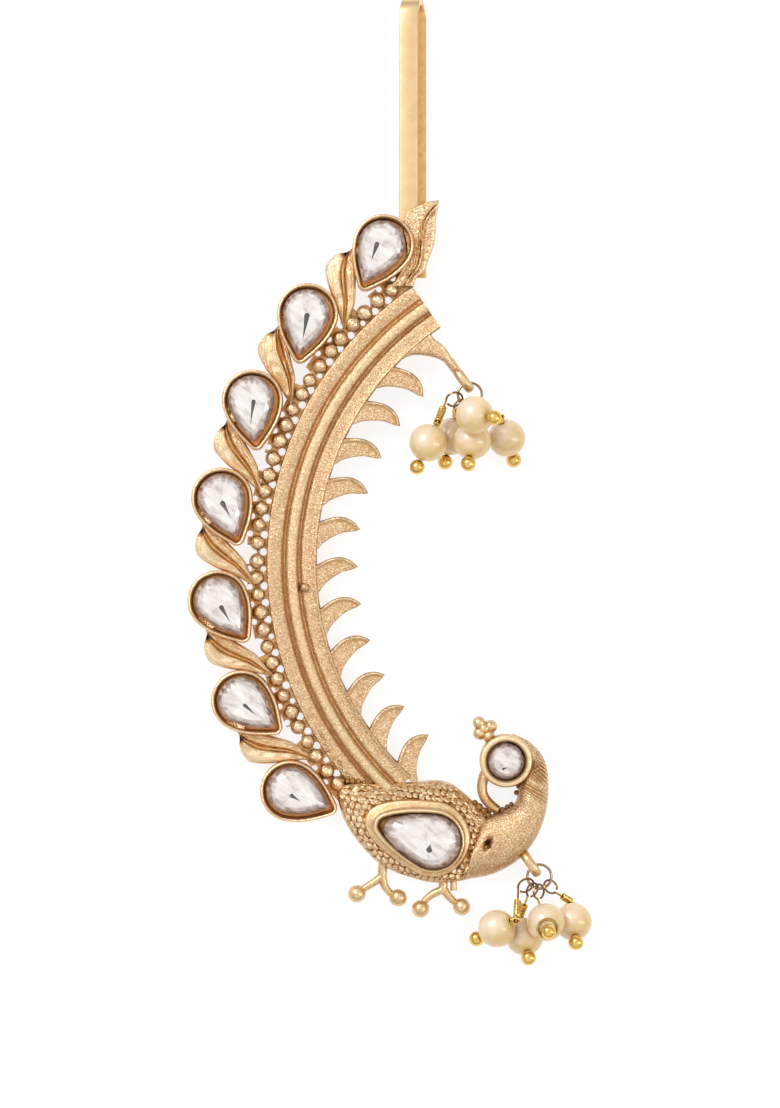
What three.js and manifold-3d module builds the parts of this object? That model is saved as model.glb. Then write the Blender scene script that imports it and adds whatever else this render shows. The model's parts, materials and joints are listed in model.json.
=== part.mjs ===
// Ear cuff with a peacock, pear-cut stones and two clusters of pearls, lying on its back.
// Lengths are in millimetres and angles in degrees, turning counter-clockwise from +X as seen from +Z.
// The cuff is drawn in a frame of its own: its back is the plane z = 0, its front faces +Z, and the
// centre of the ear is the origin. The last section leans it onto the surface that it rests on.
import * as THREE from "three";
import { mergeVertices } from "three/addons/utils/BufferGeometryUtils.js";
import Module from "manifold-3d";

// Driving dimensions: the band
const ribRadius = 31.0;
const ribWidth = 1.2;
const grooveWidth = 0.4;
const innerFlange = 1.5;
const outerFlange = 1.5;
const bandThickness = 1.2;
const ribRise = 0.75;
const grooveDepth = 0.3;
const bandTop = 124.5;
const bandBottom = 227;

// Driving dimensions: the barbs and the horn on the inner edge; leads are degrees past the band's top
const barbLead = 12.4;
const barbPitch = 8.75;
const barbReach = 4.1;
const barbWidth = 3.3;
const barbThickness = 1.1;
const hornLead = 2.5;
const hornWidth = 4.3;
const hornRise = 0.15;
const studShare = 0.587;
const studInset = 1.3;
const studRadius = 0.4;

// Driving dimensions: the bezel cups and their stones
const cupCount = 7;
const cupLead = 0.1;
const cupTail = 10.9;
const cupRadius = 3.05;
const cupReach = 5.0;
const cupHeight = 2.4;
const cupFloor = 0.8;
const cupWall = 0.42;
const cupTurn = 30;
const pointedWall = 1.6;
const stoneGap = 0.12;
const stoneRise = 0.15;

// Driving dimensions: the granules between the band and the cups
const granuleSpacing = 1.73;
const granuleRadius = 0.66;
const granuleGap = 0.3;
const granuleLift = 0.2;
const granuleLead = 0.3;
const granuleTail = 3.4;
const galleryWidth = 1.95;
const galleryThickness = 0.7;
const galleryOverlap = 0.25;
const granuleHoleRadius = 0.3;
const granuleHoleInset = 0.3;
const tipHoleRadius = 0.82;
const tipHoleTurn = 0.54;

// Driving dimensions: the leaves
const leafThickness = 1.2;
const leafRib = 0.45;
const leafRibWidth = 0.8;
const finialRibWidth = 0.9;
const ribSink = 0.3;

// Driving dimensions: the peacock
const bodyLength = 15.2;
const bodyHeight = 10.2;
const bodyThickness = 2.3;
const bodyEdge = 1.1;
const bodyOffset = 1.74;
const bodyLead = 7.95;
const bodyCupRadius = 3.45;
const bodyCupReach = 7.3;
const bodyCupHeight = 3.0;
const bodyCupFloor = 1.2;
const bodyCupWall = 0.7;
const bodyCupTurn = 160;
const bodyPointedWall = 2.4;
const neckWidth = 4.8;
const neckThickness = 2.6;
const headRadius = 2.55;
const headHeight = 2.9;
const headFloor = 1.2;
const headWall = 0.45;
const beakWidth = 1.0;
const beakThickness = 1.6;
const crestWidth = 1.2;
const crestRadius = 0.53;
const footThickness = 1.3;
const footBallRadius = 0.88;
const toeWidth = 0.65;
const stemWidth = 0.85;

// Driving dimensions: the cast bails, the jump rings, the pearls and their pins
const bailWidth = 0.95;
const bailLength = 3.4;
const bailDepth = 2.5;
const bailEyeDepth = 1.0;
const bailRoot = 1.43;
const bailRootDepth = 1.5;
const bailSink = 0.4;
const upperBailTurn = -53.9;
const upperBailHeight = 0.75;
const lowerBailTurn = -56;
const lowerBailHeight = 1.3;
const jumpRingRadius = 1.2;
const jumpWire = 0.4;
const pearlDiameter = 3.75;
const pearlBore = 0.8;
const pinWire = 0.42;
const pinBallRadius = 0.76;
const wrapRadius = 0.5;
const wrapLength = 0.9;
const loopRadius = 0.72;
const loopWire = 0.26;
const linkGap = 0.06;
const linkPlay = 0.1;
const bailPlay = 0.22;

// Driving dimensions: the clip strip soldered behind the top
const clipWidth = 1.9;
const clipThickness = 0.8;
const clipGap = 2.1;
const clipPinch = 0.9;
const clipHeight = 26.8;
const clipShift = 0.85;
const clipSink = 0.1;
const clipAcross = 0.82;
const clipFootDrop = 0.69;
const clipEndDrop = 1.0;

// Sizes worked out from those above
const innerEdge = ribRadius - ribWidth / 2 - grooveWidth - innerFlange;
const outerEdge = ribRadius + ribWidth / 2 + grooveWidth + outerFlange;
const cupCircle = outerEdge + galleryWidth + cupRadius;
const firstCup = bandTop + cupLead;
const cupPitch = (bandBottom - cupTail - firstCup) / (cupCount - 1);
const firstBarb = bandTop + barbLead;
const barbCount = Math.floor((bandBottom - firstBarb) / barbPitch) + 1;
const granuleCircle = outerEdge + granuleGap + granuleRadius;
const granuleSweep = cupPitch * (cupCount - 1) + granuleTail;
const granuleSteps = Math.round((THREE.MathUtils.degToRad(granuleSweep) * granuleCircle) / granuleSpacing);
const granulePitch = granuleSweep / granuleSteps;
const weld = 0.0005;

// Plain helpers
const wasm = await Module();
wasm.setup();

function onArc(radius, degrees) {
  const turn = THREE.MathUtils.degToRad(degrees);
  return new THREE.Vector2(radius * Math.cos(turn), radius * Math.sin(turn));
}

function solidOf(geometry) {
  geometry.deleteAttribute("normal");
  geometry.deleteAttribute("uv");
  const merged = mergeVertices(geometry, weld);
  const vertProperties = Float32Array.from(merged.attributes.position.array);
  const triVerts = Uint32Array.from(merged.index.array);
  return new wasm.Manifold(new wasm.Mesh({ numProp: 3, vertProperties, triVerts }));
}

function joined(solids) {
  return wasm.Manifold.union(solids);
}

function meshOf(solid, name, material) {
  const { vertProperties, triVerts } = solid.getMesh();
  const geometry = new THREE.BufferGeometry();
  geometry.setAttribute("position", new THREE.BufferAttribute(Float32Array.from(vertProperties), 3));
  geometry.setIndex(new THREE.BufferAttribute(Uint32Array.from(triVerts), 1));
  geometry.computeVertexNormals();
  const mesh = new THREE.Mesh(geometry, material);
  mesh.name = name;
  return mesh;
}

// A closed skin over rings of points; each ring runs counter-clockwise as seen from the last ring's side
function skinned(rings, capFaces) {
  const count = rings[0].length;
  const last = (rings.length - 1) * count;
  const points = rings.flat().flatMap((point) => [point.x, point.y, point.z]);
  const faces = [];
  for (let ring = 0; ring < rings.length - 1; ring += 1) {
    for (let side = 0; side < count; side += 1) {
      const here = ring * count + side;
      const next = ring * count + ((side + 1) % count);
      faces.push(here, next, next + count, here, next + count, here + count);
    }
  }
  for (const [a, b, c] of capFaces) {
    faces.push(a, c, b);
    faces.push(last + a, last + b, last + c);
  }
  const geometry = new THREE.BufferGeometry();
  geometry.setAttribute("position", new THREE.Float32BufferAttribute(points, 3));
  geometry.setIndex(faces);
  return solidOf(geometry);
}

function fanFaces(count) {
  const faces = [];
  for (let corner = 1; corner < count - 1; corner += 1) {
    faces.push([0, corner, corner + 1]);
  }
  return faces;
}

// An outline carried upwards through levels of { z, scale }, drawn in about a centre
function stacked(outline, levels, centre = new THREE.Vector2()) {
  const points = THREE.ShapeUtils.isClockWise(outline) ? [...outline].reverse() : outline;
  const rings = levels.map(({ z, scale }) => points.map((point) => {
    const drawn = point.clone().sub(centre).multiplyScalar(scale).add(centre);
    return new THREE.Vector3(drawn.x, drawn.y, z);
  }));
  return skinned(rings, THREE.ShapeUtils.triangulateShape(points, []));
}

function plate(outline, low, high) {
  return stacked(outline, [{ z: low, scale: 1 }, { z: high, scale: 1 }]);
}

// A cast tongue with a flat back and a rounded top, through rows of { x, y, width, top }
function tongue(rows, low = 0) {
  const shoulder = 0.34;
  const sideRise = 0.45;
  const shoulderRise = 0.86;
  const rings = rows.map((row, index) => {
    const before = rows[Math.max(index - 1, 0)];
    const after = rows[Math.min(index + 1, rows.length - 1)];
    const along = new THREE.Vector2(after.x - before.x, after.y - before.y).normalize();
    const rise = row.top - low;
    const section = [
      [-0.5, 0], [0.5, 0], [0.5, sideRise], [shoulder, shoulderRise],
      [0, 1], [-shoulder, shoulderRise], [-0.5, sideRise],
    ];
    return section.map(([across, up]) => new THREE.Vector3(
      row.x - along.y * across * row.width,
      row.y + along.x * across * row.width,
      low + up * rise,
    ));
  });
  return skinned(rings, fanFaces(rings[0].length));
}

// A round wire through a few points of a smooth curve
function wire(points, diameter, steps, sides = 5) {
  const curve = new THREE.CatmullRomCurve3(points, false, "centripetal");
  const frames = curve.computeFrenetFrames(steps, false);
  const rings = [];
  for (let step = 0; step <= steps; step += 1) {
    const centre = curve.getPointAt(step / steps);
    const ring = [];
    for (let side = 0; side < sides; side += 1) {
      const turn = (2 * Math.PI * side) / sides;
      ring.push(centre.clone()
        .addScaledVector(frames.normals[step], (diameter / 2) * Math.cos(turn))
        .addScaledVector(frames.binormals[step], (diameter / 2) * Math.sin(turn)));
    }
    rings.push(ring);
  }
  return skinned(rings, fanFaces(sides));
}

function ball(x, y, z, radius, down = 5) {
  const geometry = new THREE.SphereGeometry(radius, 10, down);
  geometry.rotateX(Math.PI / 2);
  geometry.translate(x, y, z);
  return solidOf(geometry);
}

function post(x, y, low, high, radius, sides) {
  const geometry = new THREE.CylinderGeometry(radius, radius, high - low, sides);
  geometry.rotateX(Math.PI / 2);
  geometry.translate(x, y, (low + high) / 2);
  return solidOf(geometry);
}

// A pear outline with its round centre at the origin and its point on +X
function pearOutline(radius, reach, roundSteps = 9, sideSteps = 3) {
  const shoulderTurn = 78;
  const sideFullness = 0.75;
  const pointFullness = 0.3;
  const pointTurn = 220;
  const points = [];
  for (let step = 0; step <= roundSteps; step += 1) {
    points.push(onArc(radius, shoulderTurn + ((360 - 2 * shoulderTurn) * step) / roundSteps));
  }
  const start = onArc(radius, -shoulderTurn);
  const tip = new THREE.Vector2(reach, 0);
  const leaving = onArc(radius * sideFullness, 90 - shoulderTurn);
  const arriving = onArc(reach * pointFullness, pointTurn);
  const side = new THREE.CubicBezierCurve(start, leaving.add(start), arriving.add(tip), tip);
  const sidePoints = side.getPoints(sideSteps);
  points.push(...sidePoints.slice(1));
  for (let step = sideSteps - 1; step > 0; step -= 1) {
    points.push(new THREE.Vector2(sidePoints[step].x, -sidePoints[step].y));
  }
  return points;
}

function roundOutline(radius, sides) {
  return Array.from({ length: sides }, (_, side) => onArc(radius, (360 * side) / sides));
}

// Moves an outline drawn about the origin to a place, turned by an angle
function placed(outline, centre, degrees) {
  const turn = THREE.MathUtils.degToRad(degrees);
  return outline.map((point) => point.clone().rotateAround(new THREE.Vector2(), turn).add(centre));
}

// A cut stone: keel, girdle, crown facets and a flat table; rise is a share of its height
const stoneLevels = [
  { rise: 0, scale: 0.4 }, { rise: 0.5, scale: 1 }, { rise: 0.6, scale: 1 },
  { rise: 0.86, scale: 0.74 }, { rise: 1, scale: 0.42 },
];

function cutStone(outline, centre, low, high) {
  const levels = stoneLevels.map(({ rise, scale }) => ({ z: low + (high - low) * rise, scale }));
  return stacked(outline, levels, centre);
}

// The band: a ring sector whose section has two flanges, two grooves and a half-round rib
function bandSolid() {
  const grooveFloor = bandThickness - grooveDepth;
  const halfRib = ribWidth / 2;
  const groove = halfRib + grooveWidth;
  const ribSide = halfRib * 0.72;
  const ribSideTop = bandThickness + ribRise * 0.7;
  const section = [
    [innerEdge, 0], [outerEdge, 0], [outerEdge, bandThickness], [ribRadius + groove, bandThickness],
    [ribRadius + halfRib, grooveFloor], [ribRadius + ribSide, ribSideTop],
    [ribRadius, bandThickness + ribRise], [ribRadius - ribSide, ribSideTop],
    [ribRadius - halfRib, grooveFloor], [ribRadius - groove, bandThickness], [innerEdge, bandThickness],
  ];
  const steps = 24;
  const rings = [];
  for (let step = 0; step <= steps; step += 1) {
    const angle = bandBottom + ((bandTop - bandBottom) * step) / steps;
    rings.push(section.map(([radius, z]) => {
      const place = onArc(radius, angle);
      return new THREE.Vector3(place.x, place.y, z);
    }));
  }
  const outline = section.map(([radius, z]) => new THREE.Vector2(radius, z));
  return skinned(rings, THREE.ShapeUtils.triangulateShape(outline, []));
}

// One barb: reach is a share of barbReach inwards, along a share of barbWidth down the edge
const barbOutline = [
  { reach: -0.1, along: -0.24 }, { reach: 0.18, along: -0.18 }, { reach: 0.42, along: -0.26 },
  { reach: 0.62, along: -0.23 }, { reach: 0.81, along: -0.13 }, { reach: 1, along: 0.03 },
  { reach: 0.88, along: 0.1 }, { reach: 0.59, along: 0.2 }, { reach: 0.32, along: 0.4 },
  { reach: 0.13, along: 0.6 }, { reach: 0.02, along: 0.8 }, { reach: -0.1, along: 0.86 },
];

function barbSolid(angle) {
  const outline = barbOutline.map(({ reach, along }) => {
    const turn = THREE.MathUtils.radToDeg((along * barbWidth) / (innerEdge - reach * barbReach));
    return onArc(innerEdge - reach * barbReach, angle + turn);
  });
  return plate(outline, 0, barbThickness);
}

// The horn at the top of the band; inward is a share of the barbs' reach, down is in degrees and
// width is a share of hornWidth
const hornRows = [
  { inward: -0.15, down: 3.3, width: 1 }, { inward: 0.15, down: 2.4, width: 0.63 },
  { inward: 0.49, down: 1.2, width: 0.41 }, { inward: 0.8, down: 0.8, width: 0.29 },
  { inward: 1, down: 0.95, width: 0.256 },
];

function hornPlace({ inward, down }) {
  return onArc(innerEdge - inward * barbReach, bandTop + hornLead + down);
}

function hornSolid() {
  return tongue(hornRows.map((row) => {
    const place = hornPlace(row);
    return { x: place.x, y: place.y, width: row.width * hornWidth, top: barbThickness + hornRise };
  }));
}

// A cast eye seen edge on: a stadium ring standing up from the picture's plane
function bailSolid(start, direction, middle) {
  const along = new THREE.Vector3(direction.x, direction.y, 0).normalize();
  const up = new THREE.Vector3(0, 0, 1);
  const turnedSteps = 6;
  const roundCentre = new THREE.Vector2(bailLength - bailDepth / 2, 0);
  const outer = [];
  const inner = [];
  for (let step = 0; step <= turnedSteps; step += 1) {
    const turn = -90 + (180 * step) / turnedSteps;
    outer.push(onArc(bailDepth / 2, turn).add(roundCentre));
    inner.push(onArc(bailEyeDepth / 2, turn).add(roundCentre));
  }
  outer.push(new THREE.Vector2(0, bailRootDepth / 2), new THREE.Vector2(0, -bailRootDepth / 2));
  inner.push(new THREE.Vector2(bailRoot, bailEyeDepth / 2), new THREE.Vector2(bailRoot, -bailEyeDepth / 2));
  const basis = new THREE.Matrix4().makeBasis(along, up, along.clone().cross(up));
  basis.setPosition(start.x, start.y, middle);
  const body = plate(outer, -bailWidth / 2, bailWidth / 2);
  const eye = plate(inner, -bailWidth, bailWidth);
  return body.subtract(eye).transform(basis.elements);
}

// Leaves between the cups; out is a share of the cups' circle, turn is in shares of cupPitch
const leafOutline = [
  { out: 1.03, turn: 0.27 }, { out: 1.06, turn: 0.33 }, { out: 1.066, turn: 0.42 },
  { out: 1.058, turn: 0.53 }, { out: 1.03, turn: 0.64 }, { out: 0.985, turn: 0.74 },
  { out: 0.93, turn: 0.85 }, { out: 0.905, turn: 0.87 }, { out: 0.915, turn: 0.72 },
  { out: 0.932, turn: 0.6 }, { out: 0.965, turn: 0.49 }, { out: 0.99, turn: 0.38 },
];
const leafRidge = [
  { out: 1.05, turn: 0.34 }, { out: 1.045, turn: 0.45 }, { out: 1.015, turn: 0.56 },
  { out: 0.97, turn: 0.65 }, { out: 0.925, turn: 0.78 },
];

function leafPlace({ out, turn }, cup) {
  return onArc(cupCircle * out, firstCup + (cup + turn) * cupPitch);
}

function leafSolid(cup) {
  const blade = plate(leafOutline.map((row) => leafPlace(row, cup)), 0, leafThickness);
  const ridge = tongue(leafRidge.map((row) => {
    const place = leafPlace(row, cup);
    return { x: place.x, y: place.y, width: leafRibWidth, top: leafThickness + leafRib };
  }), leafThickness - ribSink);
  return joined([blade, ridge]);
}

// The leaf finial beside the first cup, as shares of the cups' radius from that cup's centre
const finialOutline = [
  { right: 0.25, up: 0.9 }, { right: 0.6, up: 1.02 }, { right: 1.05, up: 1.25 },
  { right: 1.42, up: 1.45 }, { right: 1.84, up: 1.48 }, { right: 1.72, up: 1.1 },
  { right: 1.7, up: 0.45 }, { right: 1.7, up: 0.15 }, { right: 1.52, up: -0.4 },
  { right: 1.37, up: -0.85 }, { right: 1.02, up: -1.3 }, { right: 0.3, up: -1.55 },
  { right: 0.1, up: -0.4 },
];
const finialRidge = [
  { right: 1.76, up: 1.36 }, { right: 1.42, up: 0.95 }, { right: 1.28, up: 0.43 },
  { right: 1.24, up: -0.16 }, { right: 1.06, up: -0.56 }, { right: 0.82, up: -0.84 },
];

function finialSolid(centre) {
  const spot = ({ right, up }) => new THREE.Vector2(right, up).multiplyScalar(cupRadius).add(centre);
  const blade = plate(finialOutline.map(spot), 0, leafThickness);
  const ridge = tongue(finialRidge.map((row) => {
    const place = spot(row);
    return { x: place.x, y: place.y, width: finialRibWidth, top: leafThickness + leafRib };
  }), leafThickness - ribSink);
  return joined([blade, ridge]);
}

// The peacock's body, as shares of its length and height about its middle
const bodyOutline = [
  { right: -0.5, up: 0.41 }, { right: -0.48, up: 0.21 }, { right: -0.434, up: 0.05 },
  { right: -0.355, up: -0.12 }, { right: -0.25, up: -0.285 }, { right: -0.125, up: -0.39 },
  { right: -0.013, up: -0.45 }, { right: 0.125, up: -0.495 }, { right: 0.31, up: -0.48 },
  { right: 0.434, up: -0.4 }, { right: 0.5, up: -0.2 }, { right: 0.5, up: 0.04 },
  { right: 0.428, up: 0.225 }, { right: 0.283, up: 0.43 }, { right: 0.164, up: 0.5 },
  { right: -0.013, up: 0.48 }, { right: -0.237, up: 0.47 }, { right: -0.4, up: 0.48 },
];
const shoulderShare = 0.6;
const shoulderScale = 0.93;
const backScale = 0.8;

// The neck from breast to crown: right and up as the body's, width and top as shares of the neck's
const neckRows = [
  { right: 0.4, up: -0.18, width: 1, top: 0.9 }, { right: 0.53, up: -0.13, width: 0.917, top: 0.95 },
  { right: 0.66, up: -0.02, width: 0.833, top: 1 }, { right: 0.745, up: 0.13, width: 0.688, top: 1 },
  { right: 0.775, up: 0.3, width: 0.625, top: 1 }, { right: 0.775, up: 0.47, width: 0.563, top: 1 },
  { right: 0.735, up: 0.64, width: 0.521, top: 1 }, { right: 0.65, up: 0.77, width: 0.458, top: 1 },
];
const headPlace = { right: 0.602, up: 0.696 };
const bodyCupPlace = { right: 0.138, up: -0.088 };
const lowerBailPlace = { right: 0.71, up: -0.19 };
const beakRows = [
  { right: 0.467, up: 0.76, width: 0.95 }, { right: 0.455, up: 0.6, width: 0.9 },
  { right: 0.457, up: 0.45, width: 0.9 }, { right: 0.48, up: 0.34, width: 0.8 },
  { right: 0.535, up: 0.24, width: 0.8 }, { right: 0.6, up: 0.18, width: 1 },
];
const crestPlaces = [
  { right: 0.428, up: 1.081, size: 1 }, { right: 0.518, up: 1.016, size: 1 },
  { right: 0.432, up: 0.947, size: 1 }, { right: 0.491, up: 0.947, size: 0.8 },
];
const crestStem = [
  { right: 0.43, up: 1.07, width: 0.5 }, { right: 0.455, up: 0.97, width: 0.92 },
  { right: 0.5, up: 0.83, width: 1 },
];

// Each foot: a stem, then two toes that end in balls
const feet = [
  {
    stem: [{ right: -0.2, up: -0.28 }, { right: -0.205, up: -0.38 }, { right: -0.212, up: -0.475 }],
    toes: [
      [{ right: -0.212, up: -0.46 }, { right: -0.29, up: -0.5 }, { right: -0.345, up: -0.555 },
        { right: -0.376, up: -0.608 }],
      [{ right: -0.212, up: -0.44 }, { right: -0.185, up: -0.55 }, { right: -0.145, up: -0.61 },
        { right: -0.105, up: -0.647 }],
    ],
  },
  {
    stem: [{ right: 0.195, up: -0.42 }, { right: 0.195, up: -0.5 }, { right: 0.19, up: -0.59 }],
    toes: [
      [{ right: 0.19, up: -0.575 }, { right: 0.11, up: -0.61 }, { right: 0.06, up: -0.67 },
        { right: 0.042, up: -0.755 }],
      [{ right: 0.19, up: -0.55 }, { right: 0.225, up: -0.63 }, { right: 0.27, up: -0.69 },
        { right: 0.313, up: -0.732 }],
    ],
  },
];

const bodyMiddle = onArc(ribRadius + bodyOffset, bandBottom + bodyLead);

function onBird({ right, up }) {
  return new THREE.Vector2(bodyMiddle.x + right * bodyLength, bodyMiddle.y + up * bodyHeight);
}

function birdTongue(rows, width, top) {
  return tongue(rows.map((row) => {
    const place = onBird(row);
    return { x: place.x, y: place.y, width: width * (row.width ?? 1), top: top * (row.top ?? 1) };
  }));
}

const bodyCupCentre = onBird(bodyCupPlace);
const headCentre = onBird(headPlace);
const headSides = 20;

function birdSolids() {
  const bodyCup = placed(pearOutline(bodyCupRadius, bodyCupReach), bodyCupCentre, bodyCupTurn);
  const solids = [
    stacked(bodyOutline.map(onBird), [
      { z: 0, scale: 1 }, { z: bodyEdge, scale: 1 },
      { z: bodyEdge + (bodyThickness - bodyEdge) * shoulderShare, scale: shoulderScale },
      { z: bodyThickness, scale: backScale },
    ], bodyMiddle),
    birdTongue(neckRows, neckWidth, neckThickness),
    birdTongue(beakRows, beakWidth, beakThickness),
    birdTongue(crestStem, crestWidth, crestRadius * 2),
    post(headCentre.x, headCentre.y, 0, headHeight, headRadius, headSides),
    plate(bodyCup, 0, bodyCupHeight),
  ];
  for (const row of crestPlaces) {
    const place = onBird(row);
    solids.push(ball(place.x, place.y, crestRadius, crestRadius * row.size, 4));
  }
  for (const { stem, toes } of feet) {
    solids.push(birdTongue(stem, stemWidth, footThickness));
    for (const toe of toes) {
      const end = onBird(toe.at(-1));
      solids.push(birdTongue(toe, toeWidth, footThickness));
      solids.push(ball(end.x, end.y, footBallRadius, footBallRadius));
    }
  }
  return solids;
}

// The clip: one strip up behind the first cup, over in a bend, and down again behind
const firstCupCentre = onArc(cupCircle, firstCup);
const clipRight = firstCupCentre.x + clipAcross * cupRadius;
const clipFoot = firstCupCentre.y - clipFootDrop * cupRadius;
const clipEnd = firstCupCentre.y - clipEndDrop * cupRadius;
const clipBack = -(2 * clipThickness + clipGap - clipSink);
const clipTop = clipFoot + clipHeight - (clipGap + clipThickness) / 2;

function clipSolid() {
  const bend = (clipGap + clipThickness) / 2;
  const frontMiddle = clipSink - clipThickness / 2;
  const steps = 8;
  const spine = [{ y: clipFoot, z: frontMiddle, shift: 0, tilt: 0 }];
  for (let step = 0; step <= steps; step += 1) {
    const turn = (Math.PI * step) / steps;
    spine.push({
      y: clipTop + bend * Math.sin(turn),
      z: frontMiddle - bend + bend * Math.cos(turn),
      shift: (clipShift * step) / steps,
      tilt: turn,
    });
  }
  spine.push({ y: clipEnd, z: frontMiddle - clipThickness - clipPinch, shift: clipShift, tilt: Math.PI });
  const corners = [[-1, -1], [-1, 1], [1, 1], [1, -1]];
  const rings = spine.map(({ y, z, shift, tilt }) => corners.map(([across, out]) => new THREE.Vector3(
    clipRight + shift + (across * clipWidth) / 2,
    y + (out * clipThickness * Math.sin(tilt)) / 2,
    z + (out * clipThickness * Math.cos(tilt)) / 2,
  )));
  return skinned(rings, fanFaces(corners.length));
}

// The surface that the cuff lies on touches the clip's bend, the first foot and the last cup's rim
function restingPlane() {
  const foot = onBird(feet[0].toes[0].at(-1));
  const cup = onArc(cupCircle, firstCup + (cupCount - 1) * cupPitch);
  const towards = foot.clone().sub(cup);
  const rimTurn = THREE.MathUtils.radToDeg(towards.angle() - Math.acos(cupRadius / towards.length()));
  const rim = onArc(cupRadius, rimTurn).add(cup);
  return new THREE.Plane().setFromCoplanarPoints(
    new THREE.Vector3(rim.x, rim.y, 0),
    new THREE.Vector3(foot.x, foot.y, 0),
    new THREE.Vector3(clipRight + clipShift - clipWidth / 2, clipTop, clipBack),
  );
}

const resting = restingPlane();

function floorUnder(x, y) {
  return -(resting.normal.x * x + resting.normal.y * y + resting.constant) / resting.normal.z;
}

// The pierced gallery that carries the granules, between the band and the cups
function galleryPlate() {
  const steps = 24;
  const start = bandTop + granuleLead;
  const sweep = granuleSweep + granulePitch;
  const inner = outerEdge - galleryOverlap;
  const outer = outerEdge + galleryWidth + galleryOverlap;
  const outline = [];
  for (let step = 0; step <= steps; step += 1) {
    outline.push(onArc(inner, start + (sweep * step) / steps));
  }
  for (let step = steps; step >= 0; step -= 1) {
    outline.push(onArc(outer, start + (sweep * step) / steps));
  }
  return plate(outline, 0, galleryThickness);
}

function piercing(place, radius, sides) {
  const reach = cupHeight;
  return post(place.x, place.y, -reach, reach, radius, sides);
}

// The cups' outline and the seat inside it; the wall is thicker at the point, measured along the pear
function cupTurnAt(angle) {
  return angle + 90 + cupTurn;
}

function cupOutlineAt(angle, wall, roundSteps) {
  const outline = pearOutline(cupRadius - wall, cupReach - wall * pointedWall, roundSteps);
  return placed(outline, onArc(cupCircle, angle), cupTurnAt(angle));
}

function bodyCupOutline(wall, gap, roundSteps) {
  const reach = bodyCupReach - wall * bodyPointedWall - gap * pointedWall;
  const outline = pearOutline(bodyCupRadius - wall - gap, reach, roundSteps);
  return placed(outline, bodyCupCentre, bodyCupTurn);
}

// The casting: everything that is cast or soldered together
function castingSolid() {
  const clear = 1;
  const firstPierced = 2;
  const stud = onArc(innerEdge + studInset, bandTop + studShare * (bandBottom - bandTop));
  const solids = [bandSolid(), hornSolid(), finialSolid(firstCupCentre), clipSolid(), galleryPlate()];
  solids.push(...birdSolids(), ball(stud.x, stud.y, bandThickness, studRadius, 4));
  for (let barb = 0; barb < barbCount; barb += 1) {
    solids.push(barbSolid(firstBarb + barb * barbPitch));
  }
  const holes = [];
  const seats = [
    plate(bodyCupOutline(bodyCupWall, 0), bodyCupFloor, bodyCupHeight + clear),
    post(headCentre.x, headCentre.y, headFloor, headHeight + clear, headRadius - headWall, headSides),
  ];
  for (let cup = 0; cup < cupCount; cup += 1) {
    const angle = firstCup + cup * cupPitch;
    solids.push(plate(cupOutlineAt(angle, 0), 0, cupHeight));
    seats.push(plate(cupOutlineAt(angle, cupWall), cupFloor, cupHeight + clear));
    if (cup < cupCount - 1) {
      solids.push(leafSolid(cup));
      const tipHole = onArc(outerEdge + galleryWidth, angle + cupPitch * tipHoleTurn);
      holes.push(piercing(tipHole, tipHoleRadius, 8));
    }
  }
  const granules = [];
  for (let step = 0; step <= granuleSteps; step += 1) {
    const angle = firstCup + granuleLead + step * granulePitch;
    const place = onArc(granuleCircle, angle);
    granules.push(ball(place.x, place.y, galleryThickness + granuleLift, granuleRadius, 4));
    if (step >= firstPierced) {
      const gap = onArc(outerEdge + granuleHoleInset, angle - granulePitch / 2);
      holes.push(piercing(gap, granuleHoleRadius, 4));
    }
  }
  const metal = joined([joined(solids).subtract(joined(holes)), ...granules]);
  return joined([metal.subtract(joined(seats)), ...bails().map(({ solid }) => solid)]);
}

// The two bails, with the ring that hangs in each
function bails() {
  const eyeEnd = bailLength - (bailDepth - bailEyeDepth) / 2;
  const ringWay = eyeEnd - jumpWire / 2 - bailPlay + jumpRingRadius;
  return [
    { start: hornPlace(hornRows.at(-1)), turn: upperBailTurn, height: upperBailHeight },
    { start: onBird(lowerBailPlace), turn: lowerBailTurn, height: lowerBailHeight },
  ].map(({ start, turn, height }) => {
    const foot = start.clone().add(onArc(-bailSink, turn));
    const ring = foot.clone().add(onArc(ringWay, turn));
    const solid = bailSolid(foot, onArc(1, turn), height);
    return { solid, ring: new THREE.Vector3(ring.x, ring.y, height) };
  });
}

// The drops: where each pearl lies from its ring's centre, right and up in shares of pearlDiameter;
// layer is its clear height above the surface in the same shares; ball is the way from the pearl to
// the pin's ball; hang is where its loop hangs on the ring, lean how far the loop turns to the front
const upperDrops = [
  { right: -1.12, up: -1.29, layer: 0.79, ball: [-0.41, -0.91, 0], hang: 196, lean: -48, size: 1.15 },
  { right: 0.1, up: -0.58, layer: 1.65, ball: [0.7, -0.13, 0.7], hang: 254, lean: 0, size: 1 },
  { right: -0.5, up: -1.1, layer: 0, ball: [-0.22, -0.96, -0.17], hang: 230, lean: 0, size: 1 },
  { right: 0.98, up: -1.15, layer: 0.2, ball: [0.28, -0.8, -0.5], hang: 303, lean: 0, size: 1 },
  { right: 0.05, up: -1.24, layer: 0.86, ball: [-0.16, -0.87, 0.47], hang: 278, lean: 0, size: 1 },
];
const lowerDrops = [
  { right: -1.15, up: -1.32, layer: 0.65, ball: [-0.74, -0.43, -0.51], hang: 213, lean: -45, size: 1.15 },
  { right: -0.4, up: -1.58, layer: 0.12, ball: [0.13, -0.74, 0.66], hang: 242, lean: 0, size: 1 },
  { right: 0.14, up: -1.14, layer: 0.88, ball: [0.07, -0.27, 0.96], hang: 268, lean: 0, size: 1 },
  { right: 0.89, up: -1.19, layer: 0.14, ball: [0.08, -0.72, 0.69], hang: 318, lean: 0, size: 1 },
];

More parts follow.
